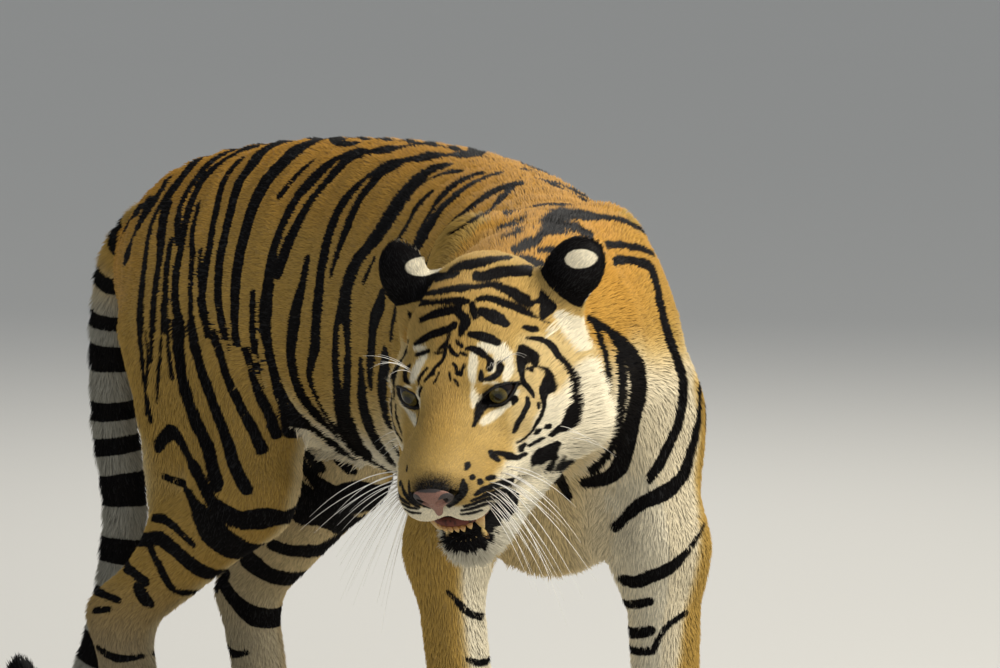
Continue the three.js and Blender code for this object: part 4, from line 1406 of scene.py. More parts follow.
# On the chest, the neck and the forelegs a point is (way to the left, height), in cm, seen from ahead.
FRONT_STRIPES = strokes(
    """
    0.8 0.9 1 1.1 1.2 1.2 1.2: 20.1 74.1, 22.9 73.5, 24.8 72.4, 25.4 69.3, 25.9 66.6, 26.8 63.8, 27.6 61,
      27.3 58.2, 26.5 55.4, 25.1 52.7, 23.7 50.4;
    0.4 0.6 0.9 1.2 1.5 1.8 1.5 1.2 1: 30.1 61.6, 29.6 58.8, 29.3 56, 28.4 53.2, 27.3 50.4, 25.1 48.8,
      22.9 47.7, 21.2 46, 20.1 44.6;
    0.7 0.8 1.5 2.2 2.3 2.2 2.2 2 1.8 1.5: 15.9 69.6, 17.9 68.2, 20.1 66, 21.8 63.2, 22.1 60.4, 21.5 57.1,
      20.9 53.8, 20.4 51.6, 18.7 50.2, 16.8 49.9;
    1.2: 19.6 64.9, 20.1 61.6, 19.8 58.2, 19.6 54.9, 18.4 52.7, 17.3 51.6;
    0.6 1: 16.5 69.3, 17.3 67.1, 17.9 65.4, 18.2 62.7, 17.9 61;
    0.3 0.6 1 1.5 1.5 1.5 1.3: 29.8 44.9, 28.4 43.2, 27.1 41.8, 25.4 40.4, 23.7 39.6, 22.3 38.8, 21.2 38.8;
    1: 21 35.7, 23.7 36.8;
    1.2: 21.2 32.4, 23.7 33.5;
    0.9: 21.5 30.7, 24 31.3;
    0.7: 27.6 35.4, 26.2 34.6, 25.1 33.5, 24.3 31.8;
    0.8 0.9 0.4: 21.8 27.2, 24 28, 25.5 28.4;
    0.8 0.9 0.4: 22 24, 24.2 24.6, 25.7 24.8;
    0.7 0.8 0.3: 22.5 20.6, 24.4 21, 25.7 21;
    0.4 0.5 0.3: 30.4 58, 30.6 54, 30.6 50, 30.5 45;
    0.4 0.8 0.7: 1.2 38.2, 2.3 36.8, 3.4 35.7, 4.8 34.9;
    0.4 0.8 0.6: 3.2 30.6, 4.6 30, 6 29.8;
    0.4 0.7 0.6: 3 25, 4.4 24.4, 5.6 24.2;
    0.5 0.9 1.2 1.5 1.1 1 0.9 0.8: 8.5 78.4, 11.1 79.3, 13.8 79.8, 16.3 79.9, 19 80.1, 21.5 79.5, 23.7 78.3,
      25.6 76.2, 27 72.8, 28.2 69;
    0.4 1 0.9 0.5 0.5 0.3: 12.2 78.1, 14 78.5, 16 78.5, 18 78.2, 20 77.9, 22.3 77.3, 25.6 75;
    0.5 0.8 0.8: 11.2 77.4, 12.4 77.7, 13.8 77.8, 15.8 77.6, 16.5 77.2, 17.6 76.7;
    0.6 1 0.6: 8.4 76.2, 9.8 76.7, 11.4 77.1;
    0.4 0.6 0.5: 11 76.2, 12.4 76.2, 13.2 76, 14.6 75.6;
    0.6 0.9 0.8: 6.8 74.6, 7.7 75.2, 9.1 75.4, 10 75.4, 11.2 74.9, 12 74.6;
    0.7 0.7 0.4: 19.4 75.6, 21.9 75.1, 23.8 74.5, 25.2 73.6;
    0.2 0.35 0.2: 7.4 77.1, 9.6 77.8, 10.8 78.4;
    0.2 0.4 0.2: 2 76, 4.4 77.6, 7 78.6;
    0.6 1.4 1.6 1: 6 64, 7 60, 7.2 55, 8.4 50;
    0.6 1.2 1.4 0.8: 10.5 58, 12 54, 13.6 50.6, 15 48
    """
)

# On the face a point is (way to the right, way down the slope of the brow), in mm.
# The broad stroke from -85 49 to -67 78 is partly black hair and partly painted shade in the fold under the
# cheek.
FACE_STRIPES = strokes(
    """
    5 10 13 12 10 7: -8 -131, -14 -128, -24 -129, -38 -132, -52 -132, -66 -130;
    4 9 12 9 4: -30 -146, -16 -144, 0 -141, 14 -140, 26 -136;
    4 9 8: 60 -124, 40 -129, 14 -131;
    4 6 7 7 6 6 6 7 8 9 5: 55 -110.5, 33 -113, 14 -115, 0 -116, -10.5 -116.5, -22 -118, -32.5 -118.5,
      -42 -113.5, -50.5 -108, -57.5 -102.5, -63 -96;
    7 6 5 7 8 5: 72 -98, 51 -102, 25 -103, 5 -104, -7 -103, -14 -101.5;
    4 6 5.5 5.5 5 3 1.5 1.5: -22 -104, -31.5 -105, -41 -101.5, -49.5 -97.5, -58 -93, -64 -88, -69 -82.5,
      -79 -77;
    5 8 9 9: 41 -84.5, 27 -90, 14 -93, 1.5 -94.5;
    6 11 12 5: -27.5 -93, -37 -88.5, -44 -84, -52 -77;
    4 8 7 7 7: 47 -60.5, 33 -66.5, 17.5 -71.5, 4 -74.5, -3 -79.5;
    5 9 10 6: -19 -69.5, -29 -67.5, -38.5 -63.5, -46 -58.5;
    8 9 8 8 5: -6 -102, -4.5 -94, -12 -86, -12 -78, -10 -70;
    5 7 5: -15 -88, -17 -82, -15 -76;
    5 7 5: -19 -99, -21.5 -93, -24 -87;
    3 12 15 9 4: -73 -112, -74.5 -104.5, -78.5 -95, -75 -87.5, -74 -83;
    5 6: -67 -100, -73 -101;
    4 5 4: -65 -74, -68 -72, -70 -70;
    3 5 4: 44.5 -48.5, 35 -50.5, 27 -53;
    1.5 3 1.5: 20 -51, 14 -50, 8 -52;
    2 4 3: 15 -54, 10 -57, 4 -63;
    3 4 4.5 4 3 1.5: 2 -70, 5 -57, 6 -48.5, 9.5 -41, 15 -34, 15 -27;
    3 4 2: 1 -57, -3 -50, -9 -47;
    2 4 3: -6 -63, -10 -59, -13 -56;
    3 6 7 6 3: -17 -53, -22 -53.5, -29 -50.5, -35 -46, -37 -43;
    1.5 3 2: -11 -50, -15 -48, -18 -46;
    2 3 2: -5 -39, -9 -35, -11 -31;
    2 3.5 2: -17 -38, -17.5 -34, -17 -30;
    2 5 4: -10 -29.5, -14 -29, -17 -28;
    1.5 3 1.5: -10 -23, -13 -20, -15 -17;
    1.5 2.5 1.5: -2 -30, -5 -26, -6 -22;
    2 3 3 1.5: 23 -35, 28 -29, 31 -24, 31 -18;
    2 4 2: 15 -34, 18.5 -28, 24 -22;
    1.5 3 1.5: 27 -16, 29 -11, 29 -6;
    1.5 2.5 1.5: 9 -30, 10 -24, 13 -19;
    3 6 6 4: -38 -44, -42.5 -39, -44 -34, -44 -31;
    3 6 6 5 4 2: -50 -38, -53.5 -32, -52.5 -27, -48 -23.5, -43 -21, -40 -20;
    3 5 4 2: -60 -12, -64 -13.5, -68 -15, -71 -16;
    2 4 3: -36.5 -30, -38 -25, -37 -21;
    2 4 4.5 5 5 5 5.5 5.5 6 7.5 6 3: -66 -63, -70.5 -62, -77 -58.5, -83.5 -52, -89.5 -41, -96 -31, -99 -20,
      -98.5 -4, -97.5 8, -94.5 24, -91 33, -84 41;
    2 4 5.5 6 4.5 2.6 2 1.6 1.6 1.6 1.2: -76 -31, -81.5 -27, -84.8 -18.5, -86 -9, -86 -1, -86 11, -83 21,
      -79 29, -75 35, -70 42, -64 46;
    3 7 9 6 4 4 3 1.5: -63 -54, -66 -48, -70 -41, -71.5 -31, -72.5 -22, -74.5 -14, -78 -6, -79.5 0;
    2 3.5 4 4.5 4 3.5 1.5: -75 -1, -74.5 5, -73 12, -71 18.5, -67 25, -64.5 31, -62 36;
    3 5 2: -64 -5, -65 1, -63 6;
    1.5 2.5 1.5: -82 5, -82.5 8, -82 12;
    4 9 10 5: -56 -146, -44 -151, -30 -158, -16 -160;
    3 4 3: -49.5 54, -52 59, -55 63;
    3 4 5 3: -53 55, -58.5 58, -62.5 62, -68 58;
    3 4 3: -66 55, -66.5 51, -69 48;
    2.5 3: -80 34, -78 37;
    2.5 3: -85 30, -84 33;
    2.5 3: -80 43, -77 46;
    2.5 3: -75 48, -72 50;
    3 7 8 6 3: -85 49, -79 56, -75 63, -71 71, -67 78;
    3 5 6 7 7 7 4: 62 -64, 72 -58, 84 -46, 94 -26, 97 0, 92 24, 84 40;
    2 6 7 5 3 2: 70 -34, 80 -24, 86 -6, 84 14, 76 30, 66 42;
    3 7 7 4 2: 62 -52, 68 -42, 71 -28, 74 -14, 78 -2;
    2 4 4 2: 74 2, 73 12, 68 24, 63 34;
    3 6 6 3: 49 -38, 53 -32, 50 -25, 43 -21;
    4 8 5: 74 -106, 80 -96, 76 -86;
    6 10 6: 84 50, 77 62, 70 74;
    5 7 5 3 1.5: -37 -4, -35 6, -33.5 13, -32.5 20, -32 27;
    5 6 5 3 1.5: 36 -2, 35 8, 35.5 15, 36 22, 36 28;
    2 6 8 8 8 6: -31.5 81, -31.5 87, -31 91, -28.5 96, -22 101, -12 107;
    2 6 8 8 6: 27 80, 28 88, 27 95, 21 101, 11 107;
    2 5 5 3: 41 84, 38 92, 31 100, 22 108;
    3 4 3: -33.5 64, -34 67, -33.5 70;
    4 4.5: -45 83, -45.5 85;
    4 5: -51 81, -53 80;
    3 4: -38 78, -39 80;
    3 4: -56 88, -58 86;
    3.5 4: 33 66, 33 69;
    4 4.5: 44 82, 45 84;
    3 6 6 4: -41 97, -48 92.5, -55 89, -61 84.5;
    2 4 4 2: -37 103.5, -46 100, -54 96, -60 92;
    2 3 3 2: -28 109, -38 107, -48 103, -56 99;
    1.5 2.5 2.5 1.5: -24 113, -34 112, -44 109, -52 105;
    1.5 2.5 1.5: -22 117, -32 117, -42 114;
    2 4 4 2: 32 105, 40 101, 48 96, 54 90;
    2 3 2: 24 110, 34 108, 44 104;
    1.5 2.5 1.5: 22 115, 32 114, 42 110
    """
)
FACE_PALE = strokes(
    """
    8 13 12 7: 31 -46, 36 -38, 38 -30, 39 -23;
    4 7 4: 48 -55, 41 -56, 32 -57;
    6 10 9 6: -24 -47, -27 -36, -29 -28, -31 -20;
    7 12 12 8: -31 -57, -42 -53, -50 -49, -56 -42;
    5 8 6: -47 -43, -47 -36, -46 -30;
    4 7 5: -58 -40, -61 -30, -60 -22;
    2 3 3 2: -41 -17, -48 -18, -56 -15, -63 -10;
    2 3 3 2: 41 -16, 48 -17, 56 -14, 62 -9;
    3 4.5 5 7 5: -66 -8, -62 1, -54 10, -45 16, -39 22;
    3 4.5 5 7 5: 66 -8, 62 1, 55 10, 47 16, 41 23;
    8 16 16 10: -88 -84, -95 -76, -101 -64, -104 -50;
    4 6 4: -30 -14, -31 -4, -31 5;
    4 6 4: 30 -14, 31 -4, 31 5
    """
)

# Where each dark ring starts and ends along the tail, in metres from its root.
TAIL_RINGS = (
    (0.02, 0.052), (0.085, 0.108), (0.14, 0.161), (0.182, 0.217), (0.2565, 0.282), (0.303, 0.327),
    (0.352, 0.394), (0.435, 0.468), (0.50, 0.53), (0.562, 0.602), (0.632, 0.672), (0.70, 0.90),
)


def stroke_depth(chart: list, u: Array, v: Array, margin: float) -> Array:
    """How deep each point of a chart lies inside the nearest stroke: half its width less the distance.

    Args:
        chart: widths and points of each stroke.
        u: the points' first coordinates, in the strokes' unit.
        v: their second coordinates.
        margin: beyond this distance the depth is just -margin.

    Returns:
        Depths, above zero inside a stroke.
    """
    best = np.full(len(u), -float(margin))
    for widths, places in chart:
        rows = smooth_rows(places, 2 * (len(places) - 1)) if len(places) > 2 else places
        spread = np.linspace(0, 1, len(widths))
        half = np.interp(np.linspace(0, 1, len(rows)), spread, widths) / 2
        reach = margin + half.max()
        low, high = rows.min(0) - reach, rows.max(0) + reach
        near = np.flatnonzero((u > low[0]) & (u < high[0]) & (v > low[1]) & (v < high[1]))
        if not len(near):
            continue
        place = np.stack([u[near], v[near]], 1)
        deepest = best[near]
        for a, b, half_a, half_b in zip(rows, rows[1:], half, half[1:]):
            run = b - a
            t = np.clip((place - a) @ run / (run @ run), 0, 1)
            gap = np.linalg.norm(place - a - t[:, None] * run, axis=1)
            deepest = np.maximum(deepest, half_a + (half_b - half_a) * t - gap)
        best[near] = deepest
    return best


@dataclass
class Paint:
    """The markings at a set of points: depth inside the dark stripes, and shares of the ground colours."""

    ink: Array
    cream: Array
    rust: Array
    grey: Array


@dataclass
class Spots:
    """Points of the skin, and where each is on every chart, in metres.

    The charts are read at points moved a little, which makes the edges of the stripes ragged.
    """

    points: Array
    part: Array
    broad: Array  # slow noise
    level: Array  # height of the moved points
    along: Array  # way along the back
    down: Array  # way down from the spine
    side: Array  # 1 on the left, -1 on the right
    run: Array  # way along the tail
    across: Array  # way to the left across the shoulders
    ahead: Array  # way forward along the hips' heading
    x: Array  # way to the right on the face, in mm
    y: Array  # way down the face, in mm
    local: Array  # the moved points in the head's frame, in mm

    def __post_init__(self) -> None:
        """Sorts the points by the parts of the body."""
        self.height = self.points[:, 2]
        self.head, self.tail = on_parts(self.part, Part.HEAD), on_parts(self.part, Part.TAIL)
        self.leg, self.hind = on_parts(self.part, *LEGS), on_parts(self.part, *LEGS[2:])
        self.body = ~self.head & ~self.tail
        low_leg = (self.height < 0.50) & on_parts(self.part, *LEGS[:2])
        self.front = self.body & ((self.along > Markings.NECK_FROM) | low_leg) & (self.points[:, 0] > 0.25)


def nose_edge(sideways: Array, up: Array) -> Array:
    """How far forward the bare leather of the nose starts, in mm."""
    return 153 + 0.85 * np.maximum(up + 21, 0) + 0.006 * sideways**2


MOUTH_BACK, MOUTH_LENGTH = 45, 105  # where the mouth's corner is, and how long the mouth is, in mm


def mouth_line(forward: Array) -> Array:
    """How high the middle of the open mouth is, in mm: a straight line down to the front."""
    return -70 - 22 * (forward - MOUTH_BACK) / MOUTH_LENGTH


def mouth_gap(forward: Array, up: Array) -> tuple[Array, Array]:
    """How far a point of the head is from the middle of the open mouth, and half the opening, in mm."""
    return np.abs(up - mouth_line(forward)), 3 + 11 * np.clip((forward - MOUTH_BACK) / MOUTH_LENGTH, 0, 1)


class Markings:
    """The tiger's markings, worked out from the place alone, so that skin and coat agree."""

    MARGIN = 0.03  # beyond this distance from a stripe its exact distance doesn't matter
    RAGGED = 0.8 * MM  # how far a stripe's edge wanders
    SWELL = 1.5 * MM  # added to each side of a stripe on the body
    SMEAR = 0.017  # how far the left flank's stripes are shifted from the right's
    BEHIND = 0.16  # how far the back's line goes on behind the trunk
    AHEAD = 0.20  # and ahead of the nape
    BROW_SLOPE = 30.0  # degrees that the chart of the face leans back
    NECK_FROM = 0.86  # along the back, where the flank's chart ends and the chest's begins
    EYELINE = 4.0 * MM  # width of the dark rim round the lids

    # Where one tone gives way to another, as the two ends of a smooth step.
    SPARSE_ALONG, SPARSE_DOWN = (0.46, 0.56), (0.20, 0.30)  # the left flank's stripes thin out
    BELLY, THROAT = (0.33, 0.46), (0.16, 0.30)  # way down to cream, on the trunk and on the throat
    RUST = (0.26, 0.02)  # way down at which the back's rust starts, and at which it is full
    BREAST_TOP, BREAST_RIM = (0.69, 0.60), (0.300, 0.286)  # height and way left of the breast's cream
    # The chest between the forelegs gets less cream: painted shade under the body.
    CHEST_ACROSS, CHEST_TOP = (0.20, 0.14), (0.60, 0.54)  # way left and height of the duller chest
    TAIL_PALE, TAIL_GREY = (0.05, 0.14), (0.06, 0.16)  # way along the tail
    HOCK_GREY = (0.30, 0.16)  # height
    # The chin's grey is its darker hair together with painted shade under the jaw.
    CHIN_GREY = (88, 112)  # way down in the head's frame, in mm

    def __init__(self) -> None:
        """Lays the line along the back and the line down the tail."""
        anatomy = Anatomy()
        nape = on_head([-60, 0, 15])
        stations = [np.array(row) * MM for row in anatomy.trunk]
        stations.append(np.array([0.525, -0.215, 0.735, 0.50, 0.105]))
        stations.append(np.array([nape[0], nape[1], nape[2] + 0.09, nape[2] - 0.10, 0.10]))
        rows = smooth_rows(stations, 60)
        behind, ahead = rows[0].copy(), rows[-1].copy()
        behind[:2] += unit(rows[0, :2] - rows[1, :2]) * self.BEHIND
        ahead[:2] += unit(rows[-1, :2] - rows[-2, :2]) * self.AHEAD
        self.back = np.vstack([behind, rows, ahead])
        steps = np.linalg.norm(np.diff(self.back[:, :2], axis=0), axis=1)
        self.back_run = np.concatenate([[0], np.cumsum(steps)]) - self.BEHIND
        self.back_way = unit(np.gradient(self.back[:, :2], self.back_run, axis=0))
        self.back_bend = np.gradient(self.back_way, self.back_run, axis=0)
        self.tail = smooth_rows([row[:3] for row in anatomy.tail], 60) * MM
        steps = np.linalg.norm(np.diff(self.tail, axis=0), axis=1)
        self.tail_run = np.concatenate([[0], np.cumsum(steps)])

    def read_back(self, rows: Array, along: Array) -> Array:
        """Rows kept at the stations of the back, read off at places along it."""
        return np.stack([np.interp(along, self.back_run, column) for column in rows.T], 1)

    def flank(self, points: Array) -> tuple[Array, Array, Array, Array]:
        """Places along the back and down from the spine.

        The way along is where the back's line, with its direction turning smoothly, is square to the
        point. The way down follows the mean of the oval's half width and half height round the upper
        half, then drops straight.

        Args:
            points: places on the skin, (n, 3).

        Returns:
            Way along, way down, the side (1 left, -1 right), and the angle round from the spine.
        """
        along, _ = along_line(points[:, :2], self.back[:, :2], self.back_run)
        for _ in range(4):
            kept = (self.back[:, :2], self.back_way, self.back_bend)
            spot, way, bend = (self.read_back(rows, along) for rows in kept)
            offset = points[:, :2] - spot
            move = (offset * way).sum(1) / np.clip(1 - (offset * bend).sum(1), 0.5, 2)
            along = np.clip(along + move, self.back_run[0], self.back_run[-1])
        way = unit(way)
        aside = offset[:, 1] * way[:, 0] - offset[:, 0] * way[:, 1]
        oval = self.read_back(self.back[:, 2:], along)
        top, low, half = oval.T
        middle, height = (top + low) / 2, (top - low) / 2
        lift = (points[:, 2] - middle) / height
        radius = (height + half) / 2
        down = np.where(
            lift > 0,
            radius * np.arctan2(np.abs(aside) / half, np.maximum(lift, 0)),
            radius * np.pi / 2 + middle - points[:, 2],
        )
        turn = np.arctan2(aside / half, lift)
        return along, down, np.sign(aside), turn

    def tail_place(self, points: Array) -> tuple[Array, Array]:
        """The way along the tail of each point, and its offset from the tail's line."""
        return along_line(points, self.tail, self.tail_run)

    @staticmethod
    def face(points: Array) -> tuple[Array, Array, Array]:
        """The face chart, in mm, and the points in the head's own frame.

        Args:
            points: places, (n, 3).

        Returns:
            The chart's x to the right and y down the face, and the points in the head's frame, in mm.
        """
        local = to_head(points)
        slope = math.radians(Markings.BROW_SLOPE)
        return -local[:, 1], local[:, 0] * math.sin(slope) - local[:, 2] * math.cos(slope), local

    def survey(self, points: Array, part: Array) -> Spots:
        """Finds points on every chart.

        Args:
            points: places, (n, 3).
            part: index of Part of each point.

        Returns:
            The surveyed points.
        """
        wander = np.stack([soft_noise(points, 0.012, seed) for seed in (1, 2, 3)], 1)
        wander += 0.5 * np.stack([soft_noise(points, 0.0045, seed) for seed in (4, 5, 6)], 1)
        places = points + wander * self.RAGGED
        along, down, side, _ = self.flank(places)
        run, _ = self.tail_place(places)
        across, ahead = places @ left_of(FORE_HEADING), places @ heading(HIND_HEADING)
        broad = soft_noise(points, 0.05, 7)
        return Spots(
            points, part, broad, places[:, 2], along, down, side, run, across, ahead, *self.face(places)
        )

    def at(self, points: Array, part: Array) -> Paint:
        """The markings at points on the skin.

        Args:
            points: places, (n, 3).
            part: index of Part of each point.

        Returns:
            The paint of each point.
        """
        spots = self.survey(points, part)
        head, ink = spots.head, self.stripes(spots)
        cream, rust, grey = self.body_tones(spots)
        face_cream, face_rust, face_ink = self.face_tones(spots.x, spots.y, spots.local, spots.broad)
        ink = np.where(head, np.maximum(ink, face_ink), ink)
        for eye in EYES:
            outside, gaze = eye.opening(points)
            near = head & (np.linalg.norm(points - eye.centre, axis=1) < eye.radius + 16 * MM) & (gaze > 0)
            ink = np.where(near, np.maximum(ink, self.EYELINE - outside), ink)
        paint = Paint(ink, np.where(head, face_cream, cream), np.where(head, face_rust, rust), grey)
        for ear in EARS:
            self.ear_paint(ear, points, head, paint)
        return paint

    def draw(self, ink: Array, chart: list, u: Array, v: Array, where: Array, unit_size: float = CM) -> None:
        """Adds the strokes of one chart to the ink of the points picked out.

        Args:
            ink: depth inside the markings, which is changed in place.
            chart: the strokes.
            u: the points' first coordinates, in metres.
            v: their second coordinates.
            where: which points.
            unit_size: the strokes' unit, in metres.
        """
        reach = self.MARGIN / unit_size
        depth = stroke_depth(chart, u[where] / unit_size, v[where] / unit_size, reach) * unit_size
        ink[where] = np.maximum(ink[where], depth)

    def stripes(self, spots: Spots) -> Array:
        """Depth inside the dark strokes of all the charts and the rings of the tail.

        Args:
            spots: the surveyed points.

        Returns:
            Depths, above zero inside a marking.
        """
        along, down, left = spots.along, spots.down, spots.side > 0
        ink = np.full(len(along), -self.MARGIN)
        flank = spots.body & ~spots.front & ~(spots.hind & (spots.height < 0.58)) & (along < 0.9)
        shifted = along + np.where(left, self.SMEAR + 0.012 * soft_noise(spots.points, 0.12, 8), 0)
        self.draw(ink, FLANK_STRIPES, shifted, down, flank)
        ink = ink - self.MARGIN * step(along, *self.SPARSE_ALONG) * step(down, *self.SPARSE_DOWN) * left
        ink = ink + self.SWELL * step(ink, -0.02, -0.004) * (0.6 + 0.4 * step(along, 0.20, 0.30))
        self.draw(ink, FRONT_STRIPES, spots.across, spots.level, spots.front)
        for chart, parts, top in (
            (HIND_STRIPES, LEGS[2:], 0.60),
            (HIND_RIGHT_STRIPES, (Part.HINDLEG_RIGHT,), 0.40),
            (HIND_LEFT_STRIPES, (Part.HINDLEG_LEFT,), 0.42),
        ):
            where = on_parts(spots.part, *parts) & (spots.height < top)
            self.draw(ink, chart, spots.ahead, spots.level, where)

        head, x, y, forward, size = spots.head, spots.x, spots.y, spots.local[:, 0], HEAD_SCALE * MM
        self.draw(ink, FACE_STRIPES, x * size, y * size, head & (forward > -112), size)
        ink = ink * np.where(head, 1 + 1.5 * step(np.abs(x), 62, 90), 1)
        jaw = (spots.local[:, 2] < mouth_line(forward)) & (forward > 20)
        jaw |= (y > 82) & (forward < 86)
        ink = np.where(head & jaw, -self.MARGIN, ink)
        ink = ink + np.where(head, 0.5 * MM, 0) * step(ink, -0.01, -0.002)
        for start, end in TAIL_RINGS:
            depth = np.clip(np.minimum(spots.run - start, end - spots.run), -self.MARGIN, self.MARGIN)
            ink = np.where(spots.tail, np.maximum(ink, depth), ink)
        return ink

    def body_tones(self, spots: Spots) -> tuple[Array, Array, Array]:
        """Shares of cream, rust and grey. Those of cream and rust hold for all but the head.

        Args:
            spots: the surveyed points.

        Returns:
            Cream, rust and grey.
        """
        height, broad, across, front = spots.height, spots.broad, spots.across, spots.front
        trunk = spots.body & ~spots.leg
        forward, sideways, up = to_head(spots.points).T
        cream = np.where(trunk, step(spots.down + 0.02 * broad, *self.BELLY), 0)
        throat = (spots.along > 0.80) * step(spots.down + 0.02 * broad, *self.THROAT)
        behind_ear = 0.8 * step(sideways, 50, 78) * step(up, 78, 46) * step(forward, -150, -120)
        neck = on_parts(spots.part, Part.NECK)
        cream = np.maximum(cream, np.where(neck, np.maximum(throat, behind_ear), 0))
        breast = front & ~on_parts(spots.part, Part.FORELEG_RIGHT) & (across < 0.31)
        rim = across + 0.004 * broad + 0.034 * step(height, 0.44, 0.24)
        pale = step(height + 0.02 * broad, *self.BREAST_TOP) * step(rim, *self.BREAST_RIM)
        cream = np.maximum(cream, np.where(breast, 0.75 * pale, 0))
        # Less cream on the chest between the forelegs: painted shade under the body.
        chest = step(across, *self.CHEST_ACROSS) * step(height, *self.CHEST_TOP) * front
        cream = cream * (1 - 0.35 * chest)
        cream = np.maximum(cream, np.where(spots.leg, self.leg_cream(spots.points, spots.part, broad), 0))
        cream = np.where(spots.tail, 0.55 * step(spots.run, *self.TAIL_PALE), cream)
        rust = step(spots.down + 0.03 * broad, *self.RUST) * trunk
        greys = (
            spots.tail * step(spots.run + 0.02 * broad, *self.TAIL_GREY),
            spots.hind * 0.55 * step(height, *self.HOCK_GREY),
            # the chin's darker hair, with painted shade under the jaw
            spots.head * 0.6 * step(-up, *self.CHIN_GREY),
        )
        return cream, rust, np.maximum.reduce(greys)

    @staticmethod
    def leg_cream(points: Array, part: Array, broad: Array) -> Array:
        """Cream on the inner sides of the legs and near the feet, fading to buff at the outer sides.

        Args:
            points: places on the skin, (n, 3).
            part: index of Part of each point.
            broad: slow noise.

        Returns:
            The share of cream.
        """
        total, height = np.zeros(len(points)), points[:, 2]
        for leg in Anatomy().legs():
            sign = 1 if leg.part.name.endswith("LEFT") else -1
            fore = leg.part in (Part.FORELEG_LEFT, Part.FORELEG_RIGHT)
            way = FORE_HEADING if fore else HIND_HEADING
            offset = leg.offset(points)
            outer = sign * (offset @ left_of(way)[:2])
            ahead = offset @ heading(way)[:2]
            lean = 0.25 if fore else -0.1
            shift = 0.026 * step(height, 0.24, 0.42) if leg.part is Part.FORELEG_LEFT else 0.0
            inner = step(outer - shift + 0.006 * broad + lean * ahead, 0.012, -0.012)
            # The hind legs get half the cream of the forelegs on their inner sides: painted shade on the
            # inner hind legs.
            inner = inner * (1.0 if fore else 0.5)
            pale = np.maximum(inner * step(height, 0.62, 0.46), 0.35 * step(height, 0.2, 0.05))
            total = np.where(part == leg.part.value, pale, total)
        return total

    @staticmethod
    def face_tones(x: Array, y: Array, local: Array, broad: Array) -> tuple[Array, Array, Array]:
        """Cream and rust of the head, and ink that follows the eyes and the mouth.

        Args:
            x: way to the right on the face chart, in mm.
            y: way down it.
            local: points in the head's frame, in mm.
            broad: slow noise.

        Returns:
            Cream, rust and ink, one value for each point.
        """
        forward, sideways, up = local.T
        pale = step(stroke_depth(FACE_PALE, x, y, 14) + 2 * broad, -3.5, 1.5)
        edge = 106 - 0.45 * np.clip(y + 40, 0, 120)
        cheek = step(np.abs(x) + 4 * broad, edge - 7, edge + 7) * step(y, -62, -40)
        cheek = np.maximum(cheek, 0.75 * step(y, 30, 50) * step(np.abs(x), 55, 66))
        pad = step(-up + 3 * broad, 31, 41) * step(forward, 50, 80)
        jaw = step(-up + 4 * broad, 42, 60)
        gold = 0.40 * step(np.abs(x), 50, 66) * step(y, -80, -60)
        cream = np.maximum.reduce([pale, cheek, pad, jaw, gold])
        rust = 0.45 * step(y, -50, -130) * step(forward, -90, -50)
        rust = np.maximum(rust, 0.3 * step(np.abs(sideways), 26, 12) * step(y, 60, 0))
        cream = np.maximum(cream, 0.16 + 0.06 * broad)
        ink = np.full(len(x), -Markings.MARGIN)
        gap, half = mouth_gap(forward, up)
        below = up < mouth_line(forward)
        rough = soft_noise(local, 4, 9)
        # Black lips; where the mouth is open, the same ink darkens its inside as painted shade.
        lips = np.where(below, 19 + 7 * rough, 10 + 4 * rough) + half - gap
        ink = np.where((forward > 52) & (np.abs(sideways) < 46) & (up < -56), lips * MM, ink)
        dusk = 1 - np.hypot((x + 3) / 27, (y - 90) / 15)
        ink = np.maximum(ink, np.where(forward > 110, np.minimum(dusk, 0.5) * 1.6 * MM, ink))
        return cream, rust, ink

    @staticmethod
    def ear_paint(ear: Ear, points: Array, head: Array, paint: Paint) -> None:
        """Black backs with a white spot, and a pale inside.

        Args:
            ear: the ear.
            points: places on the skin, (n, 3).
            head: which of them are on the head.
            paint: the markings, which are changed in place.
        """
        up, across, back = ear.local(points).T
        on_ear = head & ear.holds(points, 45, -34)
        shell = (up / 39) ** 2 + (across / 30) ** 2 + (back / 23) ** 2
        out_side = on_ear & (back > -4) & (shell > 0.72)
        x, y, _ = Markings.face(points)
        spot = 1 - np.hypot((x - ear.spot[0]) / 16, (y - ear.spot[1]) / 10)
        black = np.where(up < -16, (up + 26) * MM, 0.012)
        black = np.minimum(black, -spot * 0.012)
        flap = on_ear & (up > -20)
        paint.ink = np.where(out_side, black, np.where(flap, -0.012, paint.ink))
        paint.cream = np.where(flap, 1.0, paint.cream)
        paint.rust = np.where(on_ear, 0, paint.rust)


# ---- Meshes in Blender ----


def frame_shift() -> Array:
    """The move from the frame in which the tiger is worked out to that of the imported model.

    Returns:
        The move, in metres.
    """
    low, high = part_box("eye_left")
    middle = (np.array(low) + np.array(high)) / 2
    move = middle - on_head(EYEBALL)
    move[2] = 0.0
    return move


SHIFT = frame_shift()


